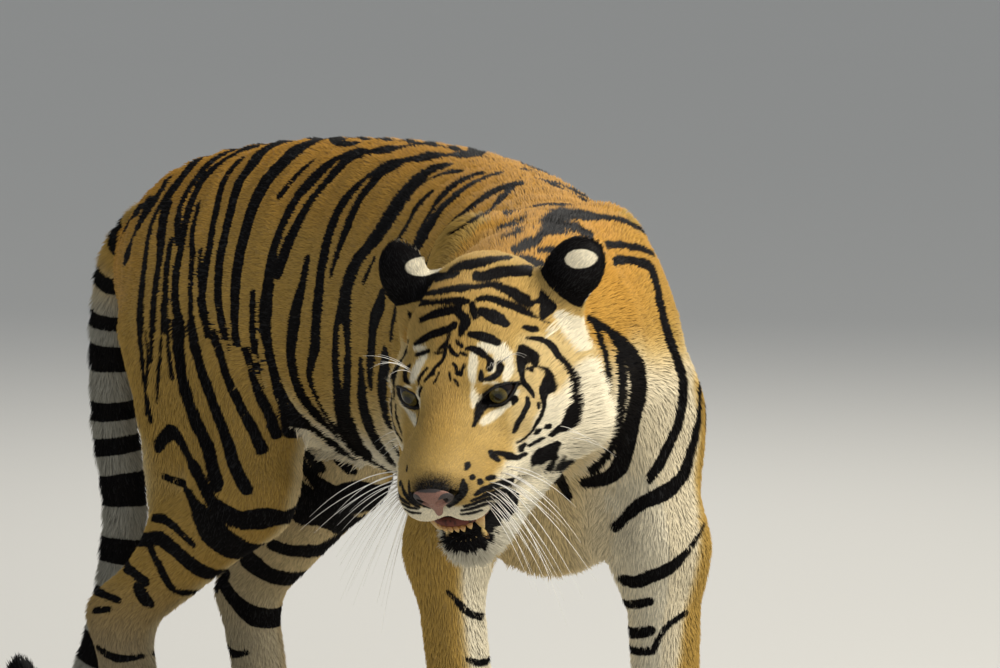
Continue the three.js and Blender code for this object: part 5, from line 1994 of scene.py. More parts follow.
def make_piece(
    name: str, vertices: Array, faces: Array, material: bpy.types.Material,
    attributes: dict | None = None, normals: Array | None = None, unwrap: tuple | None = None,
) -> bpy.types.Object:
    """A mesh object from whole arrays, riding on the model's one body.

    Args:
        name: the piece's name.
        vertices: places in the working frame, (n, 3).
        faces: corners of the faces, (m, 3) or (m, 4).
        material: its finish.
        attributes: values for each vertex, by name.
        normals: shading normals for each vertex.
        unwrap: a UV map's name and the place of each vertex in it, (n, 2).

    Returns:
        The object.
    """
    mesh = bpy.data.meshes.new(name)
    sides = faces.shape[1]
    mesh.vertices.add(len(vertices))
    mesh.vertices.foreach_set("co", (vertices + SHIFT).astype(np.float32).ravel())
    mesh.loops.add(faces.size)
    mesh.loops.foreach_set("vertex_index", faces.astype(np.int32).ravel())
    mesh.polygons.add(len(faces))
    mesh.polygons.foreach_set("loop_start", np.arange(0, faces.size, sides, dtype=np.int32))
    mesh.polygons.foreach_set("use_smooth", np.ones(len(faces), bool))
    mesh.update(calc_edges=True)
    for key, values in (attributes or {}).items():
        layer = mesh.attributes.new(key, "FLOAT", "POINT")
        layer.data.foreach_set("value", np.asarray(values, np.float32))
    if unwrap:
        layer = mesh.uv_layers.new(name=unwrap[0])
        layer.uv.foreach_set("vector", unwrap[1][faces.ravel()].astype(np.float32).ravel())
    mesh.materials.append(material)
    if normals is not None:
        mesh.normals_split_custom_set_from_vertices(normals.astype(np.float32))
    piece = bpy.data.objects.new(name, mesh)
    bpy.context.scene.collection.objects.link(piece)
    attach(piece, "root")
    LOG.info("%s: %d triangles", name, len(faces) * (sides - 2))
    return piece


def split_fans(vertices: Array, triangles: Array) -> tuple[Array, Array]:
    """Gives each fan of triangles its own vertex where two fans meet in one, and eases those vertices apart.

    Args:
        vertices: places, (n, 3).
        triangles: corners, (m, 3).

    Returns:
        The new vertices and triangles.
    """
    corner = triangles.ravel()
    after = np.roll(triangles, -1, 1).ravel()
    before = np.roll(triangles, 1, 1).ravel()
    size = len(vertices)
    follow = np.empty(len(corner), np.int64)
    follow[np.argsort(corner * size + after)] = np.argsort(corner * size + before)
    fan = np.arange(len(corner))
    for _ in range(7):
        fan = np.minimum(fan, fan[follow])
        follow = follow[follow]
    heads, number = np.unique(fan, return_inverse=True)
    owner = corner[heads]
    places, faces = vertices[owner], number.reshape(-1, 3)
    shared = np.bincount(owner, minlength=size)[owner] > 1
    edges = faces[:, [0, 1, 1, 2, 2, 0]].reshape(-1, 2)
    count = np.bincount(edges[:, 0], minlength=len(places))
    sums = [np.bincount(edges[:, 0], places[edges[:, 1], k], len(places)) for k in range(3)]
    mean = np.stack([total / count for total in sums], 1)
    places[shared] = mean[shared]
    return places, faces


def ring_faces(rings: int, around: int) -> Array:
    """Triangles between a first point, rings of vertices and a last point, numbered in that order.

    Args:
        rings: how many rings.
        around: vertices in each ring.

    Returns:
        Corners of the triangles, (n, 3).
    """
    k = np.arange(around)
    following, last = (k + 1) % around, rings * around + 1
    faces = [(np.zeros_like(k), 1 + following, 1 + k)]
    for low in range(1, last - around, around):
        high = low + around
        faces += [(low + k, low + following, high + following), (low + k, high + following, high + k)]
    faces.append((last - around + k, last - around + following, np.full_like(k, last)))
    return np.concatenate([np.stack(corners, 1) for corners in faces])


@dataclass
class Tube:
    """Closed tapered tubes along smooth paths, all of one count of sides."""

    sides: int = 5

    def build(self, paths: Array, radii: Array) -> tuple[Array, Array, Array]:
        """Each ring is a circle across the path, of the radius at that ring, and both ends close in a point.

        Args:
            paths: points of the centre lines, (count, rings, 3).
            radii: (count, rings).

        Returns:
            Vertices, triangles, and how far along its tube each vertex is.
        """
        count, rings, _ = paths.shape
        along = unit(np.gradient(paths, axis=1))
        aside = unit(np.cross(along, np.array([0.31, 0.17, 0.93])))
        upward = np.cross(along, aside)
        angle = np.arange(self.sides) / self.sides * 2 * np.pi
        circle = aside[:, :, None] * np.cos(angle)[:, None] + upward[:, :, None] * np.sin(angle)[:, None]
        body = paths[:, :, None] + circle * radii[:, :, None, None]
        first = paths[:, :1] - along[:, :1] * radii[:, :1, None] * 0.6
        last = paths[:, -1:] + along[:, -1:] * radii[:, -1:, None]
        vertices = np.concatenate([first, body.reshape(count, -1, 3), last], 1)
        starts = np.arange(count) * (rings * self.sides + 2)
        triangles = (ring_faces(rings, self.sides)[None] + starts[:, None, None]).reshape(-1, 3)
        way = np.concatenate([[0], np.repeat(np.linspace(0, 1, rings), self.sides), [1]])
        return vertices.reshape(-1, 3), triangles, np.tile(way, count)


# ---- Finishes ----


def srgb(red: int, green: int, blue: int) -> tuple[float, float, float, float]:
    """A screen colour from 0 to 255 as a linear one."""
    channels = [c / 255 for c in (red, green, blue)]
    return tuple(c / 12.92 if c <= 0.04045 else ((c + 0.055) / 1.055) ** 2.4 for c in channels) + (1.0,)


class Value:
    """A socket that gives a number, with the operators of plain arithmetic."""

    def __init__(self, nodes: "Nodes", socket: bpy.types.NodeSocket) -> None:
        """Keeps the socket and the tree it is in."""
        self.nodes, self.socket = nodes, socket

    def maths(self, operation: str, *values: object) -> "Value":
        """A Math node on this value and others."""
        return self.nodes.add("ShaderNodeMath", {"operation": operation}, dict(enumerate((self, *values))))

    def __add__(self, other: object) -> "Value":
        """Sum."""
        return self.maths("ADD", other)

    __radd__ = __add__

    def __sub__(self, other: object) -> "Value":
        """Difference."""
        return self.maths("SUBTRACT", other)

    def __rsub__(self, other: object) -> "Value":
        """Difference from a number."""
        return (self * -1.0).maths("ADD", other)

    def __mul__(self, other: object) -> "Value":
        """Product."""
        return self.maths("MULTIPLY", other)

    __rmul__ = __mul__

    def step(self, low: float, high: float) -> "Value":
        """Smoothly from 0 at low to 1 at high."""
        settings = {"interpolation_type": "SMOOTHSTEP"}
        inputs = {"Value": self, "From Min": low, "From Max": high}
        return self.nodes.add("ShaderNodeMapRange", settings, inputs)


class Nodes:
    """A material's node tree with one shader."""

    def __init__(self, name: str, **constants: object) -> None:
        """Makes the material; constants sit on the shader's own sockets.

        Args:
            name: the material's name.
            constants: values by socket name, with _ for a blank.
        """
        self.material = bpy.data.materials.new(name)
        self.material.use_nodes = True
        self.tree = self.material.node_tree
        self.shader = self.tree.nodes["Principled BSDF"]
        for key, value in constants.items():
            self.shader.inputs[key.replace("_", " ")].default_value = value

    def add(self, kind: str, settings: dict, inputs: dict, output: object = 0) -> Value:
        """Any node.

        Args:
            kind: the node's type.
            settings: its properties, set first.
            inputs: values or links of its sockets, by name or number.
            output: name or number of the output to give back.

        Returns:
            The output.
        """
        node = self.tree.nodes.new(kind)
        for key, value in settings.items():
            setattr(node, key, value)
        for key, value in inputs.items():
            if isinstance(value, Value):
                self.tree.links.new(value.socket, node.inputs[key])
            else:
                node.inputs[key].default_value = value
        return Value(self, node.outputs[output])

    def attribute(self, name: str) -> Value:
        """A number kept at the mesh's vertices."""
        return self.add("ShaderNodeAttribute", {"attribute_name": name}, {}, "Fac")

    def place(self) -> Value:
        """Object coordinates."""
        return self.add("ShaderNodeTexCoord", {}, {}, "Object")

    def noise(self, place: Value, scale: float, detail: float = 2.0, stretch: tuple = (1, 1, 1)) -> Value:
        """Noise from 0 to 1, at `scale` cells to the metre."""
        moved = self.add("ShaderNodeMapping", {}, {"Vector": place, "Scale": stretch})
        return self.add("ShaderNodeTexNoise", {}, {"Vector": moved, "Scale": scale, "Detail": detail}, "Fac")

    def mix(self, share: object, first: object, second: object, way: str = "MIX") -> Value:
        """Two colours mixed."""
        settings = {"data_type": "RGBA", "blend_type": way}
        return self.add("ShaderNodeMix", settings, {0: share, 6: first, 7: second}, 2)

    def dimmed(self, colour: Value, light: Value) -> Value:
        """A colour times a number."""
        flat = self.add("ShaderNodeCombineColor", {}, {0: light, 1: light, 2: light})
        return self.mix(1.0, colour, flat, "MULTIPLY")

    def feed(self, **links: Value) -> bpy.types.Material:
        """Links values to the shader's sockets and gives the material back."""
        for key, value in links.items():
            self.tree.links.new(value.socket, self.shader.inputs[key.replace("_", " ")])
        return self.material

    def bump(self, height: Value, strength: float, depth: float) -> Value:
        """A Bump node's normal."""
        inputs = {"Height": height, "Strength": strength, "Distance": depth}
        return self.add("ShaderNodeBump", {}, inputs, "Normal")


@dataclass(frozen=True)
class CoatFinish:
    """Hair: the ground colours, the dark markings, how they change from root to tip, and painted shade at the
    root.
    """

    orange: tuple = srgb(182, 147, 76)
    rust: tuple = srgb(194, 142, 58)
    buff: tuple = srgb(210, 182, 122)
    cream: tuple = srgb(238, 227, 198)
    grey: tuple = srgb(158, 155, 142)
    black: tuple = srgb(16, 14, 14)
    # dark bare skin: black lids and lips, and painted shade inside the open mouth
    rims: tuple = srgb(22, 18, 17)
    edge: float = 0.8 * MM

    def ground(self, nodes: Nodes, ink: Value) -> Value:
        """Orange, turned to rust, buff, cream or grey by the painted shares, then to black in the markings.

        Args:
            nodes: the material.
            ink: depth inside the markings, in metres.

        Returns:
            The colour.
        """
        cream = nodes.attribute("cream")
        colour = nodes.mix(nodes.attribute("rust"), self.orange, self.rust)
        colour = nodes.mix(cream.step(0.0, 0.5), colour, self.buff)
        colour = nodes.mix(cream.step(0.3, 0.95), colour, self.cream)
        colour = nodes.mix(nodes.attribute("grey"), colour, self.grey)
        return nodes.mix(ink.step(-self.edge, self.edge), colour, self.black)

    def tufts(self) -> bpy.types.Material:
        """The finish of the solid tufts.

        Returns:
            The material.
        """
        nodes = Nodes("coat_hair", Specular_IOR_Level=0.05)
        lot, along = nodes.attribute("lot"), nodes.attribute("along")
        root, middle, tip = (nodes.attribute(name) for name in ("ink_root", "ink", "ink_tip"))
        back = 1.0 - along
        ink = root * back * (back - along) + middle * along * back * 4.0 + tip * along * (along - back)
        colour = self.ground(nodes, ink + (lot - 0.5) * (1.2 * MM))
        # Each tuft darkens towards its root: painted shade deep in the coat. Lot varies each tuft's tone at
        # random.
        colour = nodes.dimmed(colour, (along * 0.55 + 0.55) * (lot * 0.42 + 0.79))
        return nodes.feed(Base_Color=colour, Roughness=0.62 - lot * 0.12)

    def skin(self) -> bpy.types.Material:
        """The finish of the skin under the coat: painted shade between the tufts, dark bare rims, and painted
        shade inside the mouth.

        Returns:
            The material.
        """
        nodes = Nodes("coat_skin", Specular_IOR_Level=0.3)
        place = nodes.place()
        fine = nodes.noise(place, 900, 3)
        streak = nodes.noise(place, 260, 3, (1, 1, 2))
        colour = self.ground(nodes, nodes.attribute("ink") + (fine - 0.5) * (2.4 * MM))
        # Dimmed to between half and 0.85 of its colour: painted shade in the gaps between the tufts, streaked
        # at random.
        colour = nodes.dimmed(colour, streak * 0.35 + 0.50)
        bare = nodes.attribute("bare")
        # Bare skin takes the dark rim colour, which inside the open mouth is painted shade.
        colour = nodes.mix(bare, colour, self.rims)
        bump = nodes.bump(fine + streak, 0.35, 0.0012)
        return nodes.feed(Base_Color=colour, Roughness=0.75 - bare * 0.35, Normal=bump)


@dataclass(frozen=True)
class LeatherFinish:
    """The nose's bare, finely pebbled leather: pink, dark grey towards its upper edge, with painted shade in
    the nostrils and in the grooves between the pebbles.
    """

    pink: tuple = srgb(138, 96, 80)
    dark: tuple = srgb(46, 38, 36)

    def material(self) -> bpy.types.Material:
        """The finish, as a material."""
        nodes = Nodes("nose_leather_finish", Specular_IOR_Level=0.5)
        place = nodes.place()
        settings = {"feature": "DISTANCE_TO_EDGE"}
        pebble = nodes.add("ShaderNodeTexVoronoi", settings, {"Vector": place, "Scale": 620.0}, "Distance")
        blot = nodes.noise(place, 160)
        share = (nodes.attribute("shade") + (blot - 0.5) * 0.5).step(0.35, 0.65)
        colour = nodes.mix(share, self.pink, self.dark)
        # The grooves between the pebbles are darkened: painted shade.
        colour = nodes.mix(pebble.step(0.16, 0.0) * 0.45, colour, self.dark)
        bump = nodes.bump(pebble.step(0.0, 0.3), 0.5, 0.0006)
        return nodes.feed(Base_Color=colour, Roughness=blot * 0.2 + 0.36, Normal=bump)


@dataclass(frozen=True)
class EyeFinish:
    """Round pupil, amber iris with fine fibres and a dark rim, and a brown white of the eye."""

    iris_edge: float = 0.56
    pupil_edge: float = 0.20
    iris: tuple = srgb(84, 72, 32)
    iris_inner: tuple = srgb(46, 44, 20)
    white: tuple = srgb(26, 18, 15)
    dark: tuple = srgb(8, 7, 7)

    def material(self) -> bpy.types.Material:
        """The finish, painted by each vertex's angle from the gaze.

        Returns:
            The material.
        """
        nodes = Nodes("eye_finish", Specular_IOR_Level=0.3, Roughness=0.07)
        turn = nodes.attribute("turn")
        place = nodes.place()
        fibre = nodes.noise(place, 700, 3)
        flecks = nodes.noise(place, 240, 2)
        colour = nodes.mix((turn + (flecks - 0.5) * 0.2).step(0.22, 0.46), self.iris_inner, self.iris)
        colour = nodes.mix(fibre.step(0.55, 0.3) * 0.5, colour, self.dark)
        colour = nodes.mix(turn.step(self.iris_edge - 0.07, self.iris_edge), colour, self.dark)
        colour = nodes.mix(turn.step(self.iris_edge + 0.04, self.iris_edge + 0.22), colour, self.white)
        colour = nodes.mix(turn.step(self.pupil_edge + 0.02, self.pupil_edge - 0.01), colour, self.dark)
        return nodes.feed(Base_Color=colour)


@dataclass(frozen=True)
class ToothFinish:
    """Ivory, stained yellow to brown towards the gum."""

    ivory: tuple = srgb(196, 168, 104)
    stain: tuple = srgb(150, 104, 48)

    def material(self) -> bpy.types.Material:
        """The finish, as a material."""
        nodes = Nodes("tooth_finish", Specular_IOR_Level=0.5)
        blot = nodes.noise(nodes.place(), 300, 3)
        stained = (blot * 0.5 + nodes.attribute("along") * 0.6).step(0.85, 0.2)
        colour = nodes.mix(stained, self.ivory, self.stain)
        return nodes.feed(Base_Color=colour, Roughness=blot * 0.2 + 0.25)


@dataclass(frozen=True)
class GumFinish:
    """Wet flesh, red with dark blotches."""

    flesh: tuple = srgb(92, 46, 36)
    dark: tuple = srgb(34, 18, 16)

    def material(self) -> bpy.types.Material:
        """The finish, as a material."""
        nodes = Nodes("gum_finish", Specular_IOR_Level=0.2)
        blot = nodes.noise(nodes.place(), 130, 3)
        colour = nodes.mix(blot.step(0.45, 0.7), self.flesh, self.dark)
        return nodes.feed(Base_Color=colour, Roughness=blot * 0.25 + 0.4, Normal=nodes.bump(blot, 0.3, 0.001))


@dataclass(frozen=True)
class WhiskerFinish:
    """Stiff white hair, greyer at its root."""

    tip: tuple = srgb(240, 236, 226)
    root: tuple = srgb(150, 140, 126)

    def material(self) -> bpy.types.Material:
        """The finish, as a material."""
        nodes = Nodes("whisker_finish", Specular_IOR_Level=0.5)
        along = nodes.attribute("along")
        grain = nodes.noise(nodes.place(), 500)
        colour = nodes.mix((along + grain * 0.2).step(0.0, 0.4), self.root, self.tip)
        return nodes.feed(Base_Color=colour, Roughness=grain * 0.2 + 0.3)


@dataclass(frozen=True)
class FloorFinish:
    """A plain pale floor."""

    colour: tuple = srgb(214, 212, 206)

    def material(self) -> bpy.types.Material:
        """The finish, as a material."""
        nodes = Nodes("floor_finish", Specular_IOR_Level=0.2, Roughness=0.8)
        cloud = nodes.noise(nodes.place(), 0.6)
        return nodes.feed(Base_Color=nodes.mix(cloud * 0.06, self.colour, srgb(190, 188, 182)))


# ---- The tiger's pieces ----


def bare_share(points: Array) -> tuple[Array, Array]:
    """Where the skin carries no hair, and where it is dark: bare lids, lips and nostrils, and painted shade
    inside the mouth.

    Args:
        points: places near the skin, (n, 3).

    Returns:
        Whether hair is left out, and the share of bare skin from 0 to 1.
    """
    forward, sideways, up = to_head(points).T
    bare = np.zeros(len(points))
    for eye in EYES:
        outside, ahead = eye.opening(points)
        close = np.linalg.norm(points - eye.centre, axis=1) < eye.radius + 14 * MM
        rim = step(outside, 2.4 * MM, 1.2 * MM) * (ahead > 2 * MM) * close
        bare = np.maximum(bare, rim)
    nose = (np.abs(sideways) < 27) & (up > -40) & (up < 3) & (forward > nose_edge(sideways, up) + 1.5)
    gap, half = mouth_gap(forward, up)
    # The mouth's opening is bare: black at the lips' edges, and painted shade inside.
    mouth = (forward > 40) & (forward < 150) & (np.abs(sideways) < 46) & (gap < half + 0.8)
    bare = np.maximum(bare, mouth.astype(float))
    soles = points[:, 2] < 5 * MM
    return (bare > 0.3) | nose | soles, np.maximum(bare, nose * 0.8)


PAIRED_NODES = ("ear", "upper_arm", "forearm", "forepaw", "thigh", "shank", "hind_cannon", "hindpaw")


class Skin:
    """The one closed skin, with its markings."""

    REPLACED = (
        *(f"{name}_{side}" for name in PAIRED_NODES for side in ("left", "right")),
        *(f"tail_{number}" for number in range(1, 7)),
        "lower_jaw", "nose_leather", "muzzle", "head", "neck", "chest", "ribcage", "loin", "rump",
    )

    def __init__(self, markings: Markings) -> None:
        """Meshes the field and paints it.

        Args:
            markings: the markings.
        """
        shape = tiger_field()
        self.markings = markings
        vertices, self.triangles = SkinNet().build(shape)
        self.vertices, self.triangles = split_fans(vertices, self.triangles)
        self.normals = vertex_normals(self.vertices, self.triangles)
        self.part, way = shape.nearest(self.vertices)
        for ear in EARS:
            way[ear.holds(self.vertices, 40, -30)] = ear.axes[0]
        self.way = unit(way - self.normals * (way * self.normals).sum(1, keepdims=True))
        self.paint = markings.at(self.vertices, self.part)

    def build(self) -> bpy.types.Object:
        """The skin's object.

        Returns:
            The object.
        """
        _, bare = bare_share(self.vertices)
        attributes = {**vars(self.paint), "bare": bare}
        material = CoatFinish().skin()
        piece = make_piece("skin", self.vertices, self.triangles, material, attributes)
        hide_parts(*self.REPLACED)
        return piece


@dataclass(frozen=True)
class Pelt:
    """How the coat grows, in mm: spacing of tufts, their length, width, and rise for their length."""

    spacing: float
    length: float
    width: float
    rise: float


PELTS = {
    Part.TRUNK: Pelt(2.85, 10, 2.4, 0.33),
    Part.NECK: Pelt(2.8, 15, 2.5, 0.38),
    **{leg: Pelt(2.7, 10, 2.2, 0.34) for leg in LEGS},
    Part.TAIL: Pelt(2.7, 15, 2.3, 0.42),
    Part.HEAD: Pelt(1.75, 9, 1.5, 0.36),
}
PAW_PELT = Pelt(2.1, 6.0, 1.7, 0.3)
BELLY_PELT = Pelt(3.0, 17, 2.6, 0.36)
FACE_PELT = Pelt(1.45, 5.5, 1.15, 0.32)
BRIDGE_PELT = Pelt(1.25, 3.4, 0.95, 0.30)
RUFF_PELT = Pelt(2.2, 24, 2.0, 0.42)
CHIN_PELT = Pelt(1.7, 13, 1.4, 0.5)
EAR_PELT = Pelt(1.7, 6.5, 1.3, 0.25)


class Coat:
    """The coat: thin overlapping tufts, each a closed spike that follows the lie of the hair."""

    MOST = 49000  # tufts of four triangles in one piece
    SUNK = 0.5 * MM  # how far a tuft's foot is under the skin
    RIDGE = 0.45  # height of its ridge, for its width
    SPLAY = 0.55  # how far the shading of its sides turns outwards
    PATCH = 0.0015  # size of its patch in the unwrap

    def __init__(self, skin: Skin) -> None:
        """Plants the tufts."""
        self.skin = skin
        self.chance = np.random.default_rng(20)
        self.finish = CoatFinish().tufts()
        self.plant()

    def sizes(self, points: Array, normals: Array, part: Array) -> Array:
        """Spacing, length, width and rise at each point, in metres but for the rise.

        Args:
            points: places on the skin, (n, 3).
            normals: the skin's normals there.
            part: index of Part.

        Returns:
            Four columns.
        """
        sizes = np.array([astuple(pelt) for pelt in PELTS.values()])[part]
        head, trunk = part == Part.HEAD.value, part == Part.TRUNK.value
        leg, body = on_parts(part, *LEGS), on_parts(part, Part.TRUNK, Part.NECK)
        forward, sideways, up = to_head(points).T
        ruff = step(forward, 25, -35) * step(np.abs(sideways), 62, 84) * step(up, 35, -10)
        for pelt, share in (
            (PAW_PELT, step(points[:, 2], 0.12, 0.06) * leg),
            (BELLY_PELT, step(normals[:, 2], -0.1, -0.8) * body),
            (FACE_PELT, step(forward, -20, 70) * head),
            (BRIDGE_PELT, step(forward, 95, 130) * head),
            (RUFF_PELT, ruff * head),
            (CHIN_PELT, step(up, -84, -108) * head),
        ):
            sizes = sizes * (1 - share[:, None]) + np.array(astuple(pelt)) * share[:, None]
        for ear in EARS:
            sizes[ear.holds(points, 40, -14) & head] = astuple(EAR_PELT)
        sizes[:, 1] *= 1 - 0.25 * step(points[:, 0], -0.1, -0.3) * trunk
        sizes[:, :3] *= MM
        return sizes

    def plant(self) -> None:
        """Picks the roots: each triangle gets area / spacing^2, by even steps through the running sum."""
        skin, chance = self.skin, self.chance
        corners = skin.vertices[skin.triangles]
        sides = corners[:, 1:] - corners[:, :1]
        area = np.linalg.norm(np.cross(sides[:, 0], sides[:, 1]), axis=1) / 2
        part = skin.part[skin.triangles[:, 0]]
        sizes = self.sizes(corners.mean(1), unit(skin.normals[skin.triangles].mean(1)), part)
        thin = 1.0
        wanted = np.cumsum(area / sizes[:, 0] ** 2 / thin)
        count = int(wanted[-1])
        pick = np.searchsorted(wanted, (np.arange(count) + chance.random(count)) * wanted[-1] / count)
        pick = np.minimum(pick, len(area) - 1)
        a, b = chance.random((2, count))
        fold = a + b > 1
        a, b = np.where(fold, 1 - a, a), np.where(fold, 1 - b, b)
        weights = np.stack([1 - a - b, a, b], 1)[..., None]
        index = skin.triangles[pick]
        self.root = (skin.vertices[index] * weights).sum(1)
        self.normal = unit((skin.normals[index] * weights).sum(1))
        way = (skin.way[index] * weights).sum(1)
        self.part = skin.part[index[:, 0]]
        kept = ~bare_share(self.root)[0]
        for key in ("root", "normal", "part"):
            setattr(self, key, getattr(self, key)[kept])
        way = way[kept]
        self.size = self.sizes(self.root, self.normal, self.part)
        swirl = 0.16 * soft_noise(self.root, 0.02, 11) + 0.20 * soft_noise(self.root, 0.006, 12)
        swirl += self.chance.normal(0, 0.11, len(self.root))
        way = unit(way - self.normal * (way * self.normal).sum(1, keepdims=True))
        aside = np.cross(self.normal, way)
        self.way = unit(way + aside * swirl[:, None])
        self.aside = np.cross(self.normal, self.way)
        n = len(self.root)
        lengths = self.size[:, 1] * (1 + 0.22 * soft_noise(self.root, 0.010, 13) + chance.normal(0, 0.12, n))
        self.length = np.clip(lengths, 0.45 * self.size[:, 1], 1.6 * self.size[:, 1])
        self.lot = np.clip(0.5 + 0.22 * soft_noise(self.root, 0.008, 14) + chance.normal(0, 0.17, n), 0, 1)
        reach = self.way * self.length[:, None]
        self.paint = [skin.markings.at(self.root + reach * share, self.part) for share in (0.0, 0.5, 1.0)]
        LOG.info("coat: %d tufts", n)

    def tufts(self, rows: Array) -> tuple[Array, Array, Array, Array]:
        """Closed spikes: two corners on the skin, one above them, and the tip along the lie.

        Args:
            rows: which tufts.

        Returns:
            Vertices, triangles, shading normals, and each vertex's place along its tuft.
        """
        root, normal, way, aside = self.root[rows], self.normal[rows], self.way[rows], self.aside[rows]
        length, (width, rise) = self.length[rows][:, None], self.size[rows][:, 2:].T[..., None]
        rise = rise * (1 + 0.25 * (self.lot[rows][:, None] - 0.5))
        base = root - normal * self.SUNK
        ridge = base + normal * width * self.RIDGE
        tip = root + (way * np.sqrt(1 - rise**2) + normal * rise) * length
        vertices = np.stack([base + aside * width / 2, base - aside * width / 2, ridge, tip], 1)
        turned_out = aside * self.SPLAY
        shading = unit(np.stack([normal + turned_out, normal - turned_out, normal, normal + way * 0.25], 1))
        one = np.array([(0, 1, 2), (0, 2, 3), (2, 1, 3), (1, 0, 3)])
        triangles = (one[None] + (np.arange(len(root)) * 4)[:, None, None]).reshape(-1, 3)
        along = np.tile([0.0, 0.0, 0.15, 1.0], len(root))
        return vertices.reshape(-1, 3), triangles, shading.reshape(-1, 3), along

    def charts(self) -> tuple[Array, Array]:
        """An unwrap of the skin's own shape: along and around the trunk, the tail, each leg and the head.

        Returns:
            The two coordinates of each tuft's root.
        """
        along, _, _, turn = self.skin.markings.flank(self.root)
        u, v = along.copy(), turn.copy()
        run, offset = self.skin.markings.tail_place(self.root)
        tail = self.part == Part.TAIL.value
        u[tail], v[tail] = run[tail], np.arctan2(offset[tail, 1], offset[tail, 0])
        head = self.part == Part.HEAD.value
        forward, sideways, up = to_head(self.root[head]).T
        u[head], v[head] = forward * MM, np.arctan2(sideways, up + 20)
        for leg in Anatomy().legs():
            on_leg = self.part == leg.part.value
            x, y = leg.offset(self.root[on_leg]).T
            u[on_leg], v[on_leg] = self.root[on_leg, 2], np.arctan2(y, x)
        return u, v

    def build(self) -> None:
        """The coat's pieces, one or more to each part of the body."""
        u, v = self.charts()
        for part in Part:
            name = part.name.lower()
            rows = np.flatnonzero(self.part == part.value)
            rows = rows[np.argsort(u[rows], kind="stable")]
            pieces = np.array_split(rows, max(1, math.ceil(len(rows) / self.MOST)))
            for number, chosen in enumerate(pieces, 1):
                label = f"coat_{name}_{number}" if len(pieces) > 1 else f"coat_{name}"
                self.piece(label, chosen, u, v)

    def piece(self, name: str, rows: Array, u: Array, v: Array) -> None:
        """One piece of the coat, with each tuft's patch at its root's place in the unwrap.

        Args:
            name: the piece's name.
            rows: its tufts.
            u: first coordinate of each tuft's root in the unwrap.
            v: second coordinate.
        """
        vertices, triangles, shading, along = self.tufts(rows)
        chart = np.stack([u[rows], v[rows]], 1)
        low, high = chart.min(0), chart.max(0)
        chart = 0.01 + 0.98 * (chart - low) / (high - low)
        patch = np.array([(-self.PATCH, 0), (self.PATCH, 0), (0, 0), (0, self.PATCH)])
        unwrap = (chart[:, None] + patch).reshape(-1, 2)
        shades = {key: value[rows] for key, value in vars(self.paint[1]).items()}
        shades |= {f"ink_{end}": self.paint[k].ink[rows] for end, k in (("root", 0), ("tip", 2))}
        shades["lot"] = self.lot[rows]
        attributes = {key: np.repeat(value, 4) for key, value in shades.items()} | {"along": along}
        make_piece(name, vertices, triangles, self.finish, attributes, shading, ("OFBake", unwrap))


@dataclass
class Eyeball:
    """One eyeball, with a cornea that swells in front of the iris."""

    eye: Eye
    rings: int = 44
    around: int = 64
    cornea: float = 0.75  # angle from the gaze at which the cornea starts
    swell: float = 1.3 * MM

    def build(self, name: str, node: str, material: bpy.types.Material) -> None:
        """Rings about the gaze: at an angle from it, the radius plus the cornea's smooth swelling.

        Args:
            name: the piece's name.
            node: the node that it replaces.
            material: its finish.
        """
        turn = np.pi * (np.linspace(0, 1, self.rings + 2)[1:-1] ** 1.4)
        radius = self.eye.radius + self.swell * (1 - step(turn, 0.2, self.cornea))
        angle = np.arange(self.around) / self.around * 2 * np.pi
        eye = self.eye
        side = np.cross(eye.gaze, eye.along)
        circle = eye.along * np.cos(angle)[:, None] + side * np.sin(angle)[:, None]
        ring = eye.gaze * np.cos(turn)[:, None, None] + circle * np.sin(turn)[:, None, None]
        body = eye.centre + ring * radius[:, None, None]
        front = eye.centre + eye.gaze * (eye.radius + self.swell)
        back = eye.centre - eye.gaze * eye.radius
        vertices = np.concatenate([front[None], body.reshape(-1, 3), back[None]])
        faces = ring_faces(self.rings, self.around)[:, ::-1]
        shade = np.concatenate([[0], np.repeat(turn, self.around), [np.pi]])
        piece = make_piece(name, vertices, faces, material, {"turn": shade})
        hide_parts(node)


@dataclass
class NoseLeather:
    """The bare leather of the nose: a closed cap over its front, with open nostrils and the groove below."""

    cell: float = 1.1

    def build(self) -> None:
        """Meshes the nose's own field on a fine grid in the head's frame."""
        anatomy = Anatomy()
        proud = -0.3
        nose = anatomy.head_rod((146, 0, -16), (154, 0, -17), (26, 18), (24, 16), 8, proud)
        lip = anatomy.head_rod((156, 0, -24), (154, 0, -42), (9, 6.5), (4, 6), 8, 0)
        axes = [np.arange(a, b, self.cell) for a, b in ((136, 180), (-34, 34), (-56, 10))]
        grid = np.stack(np.meshgrid(*axes, indexing="ij"), -1)
        places = on_head(grid.reshape(-1, 3))
        values = melt(nose.distance(places), lip.distance(places), 8 * MM)
        forward, sideways, up = grid.reshape(-1, 3).T
        edge = nose_edge(sideways, up)
        values = cut_away(values, (forward - edge) * MM, 2.5 * MM)
        for shape in tiger_field().shapes:
            if shape.hollow and isinstance(shape, Mass) and to_head(shape.start)[0] > 140:
                values = cut_away(values, shape.distance(places), 2 * MM)
        values = values.reshape(grid.shape[:3])
        unpinch(values)
        vertices, quads, _ = surface_net(values, axes)
        shade = np.maximum(step(vertices[:, 2], -14, -6), step(vertices[:, 0], 158, 152))
        # Darker round the nostrils: painted shade in their hollows.
        hole = np.hypot(np.abs(vertices[:, 1]) - 16, vertices[:, 2] + 20)
        shade = np.maximum(shade, step(hole, 9, 5))
        material = LeatherFinish().material()
        triangles = triangles_of(vertices, quads)
        places = on_head(vertices)
        make_piece("nose_leather_cap", places, triangles, material, {"shade": shade})


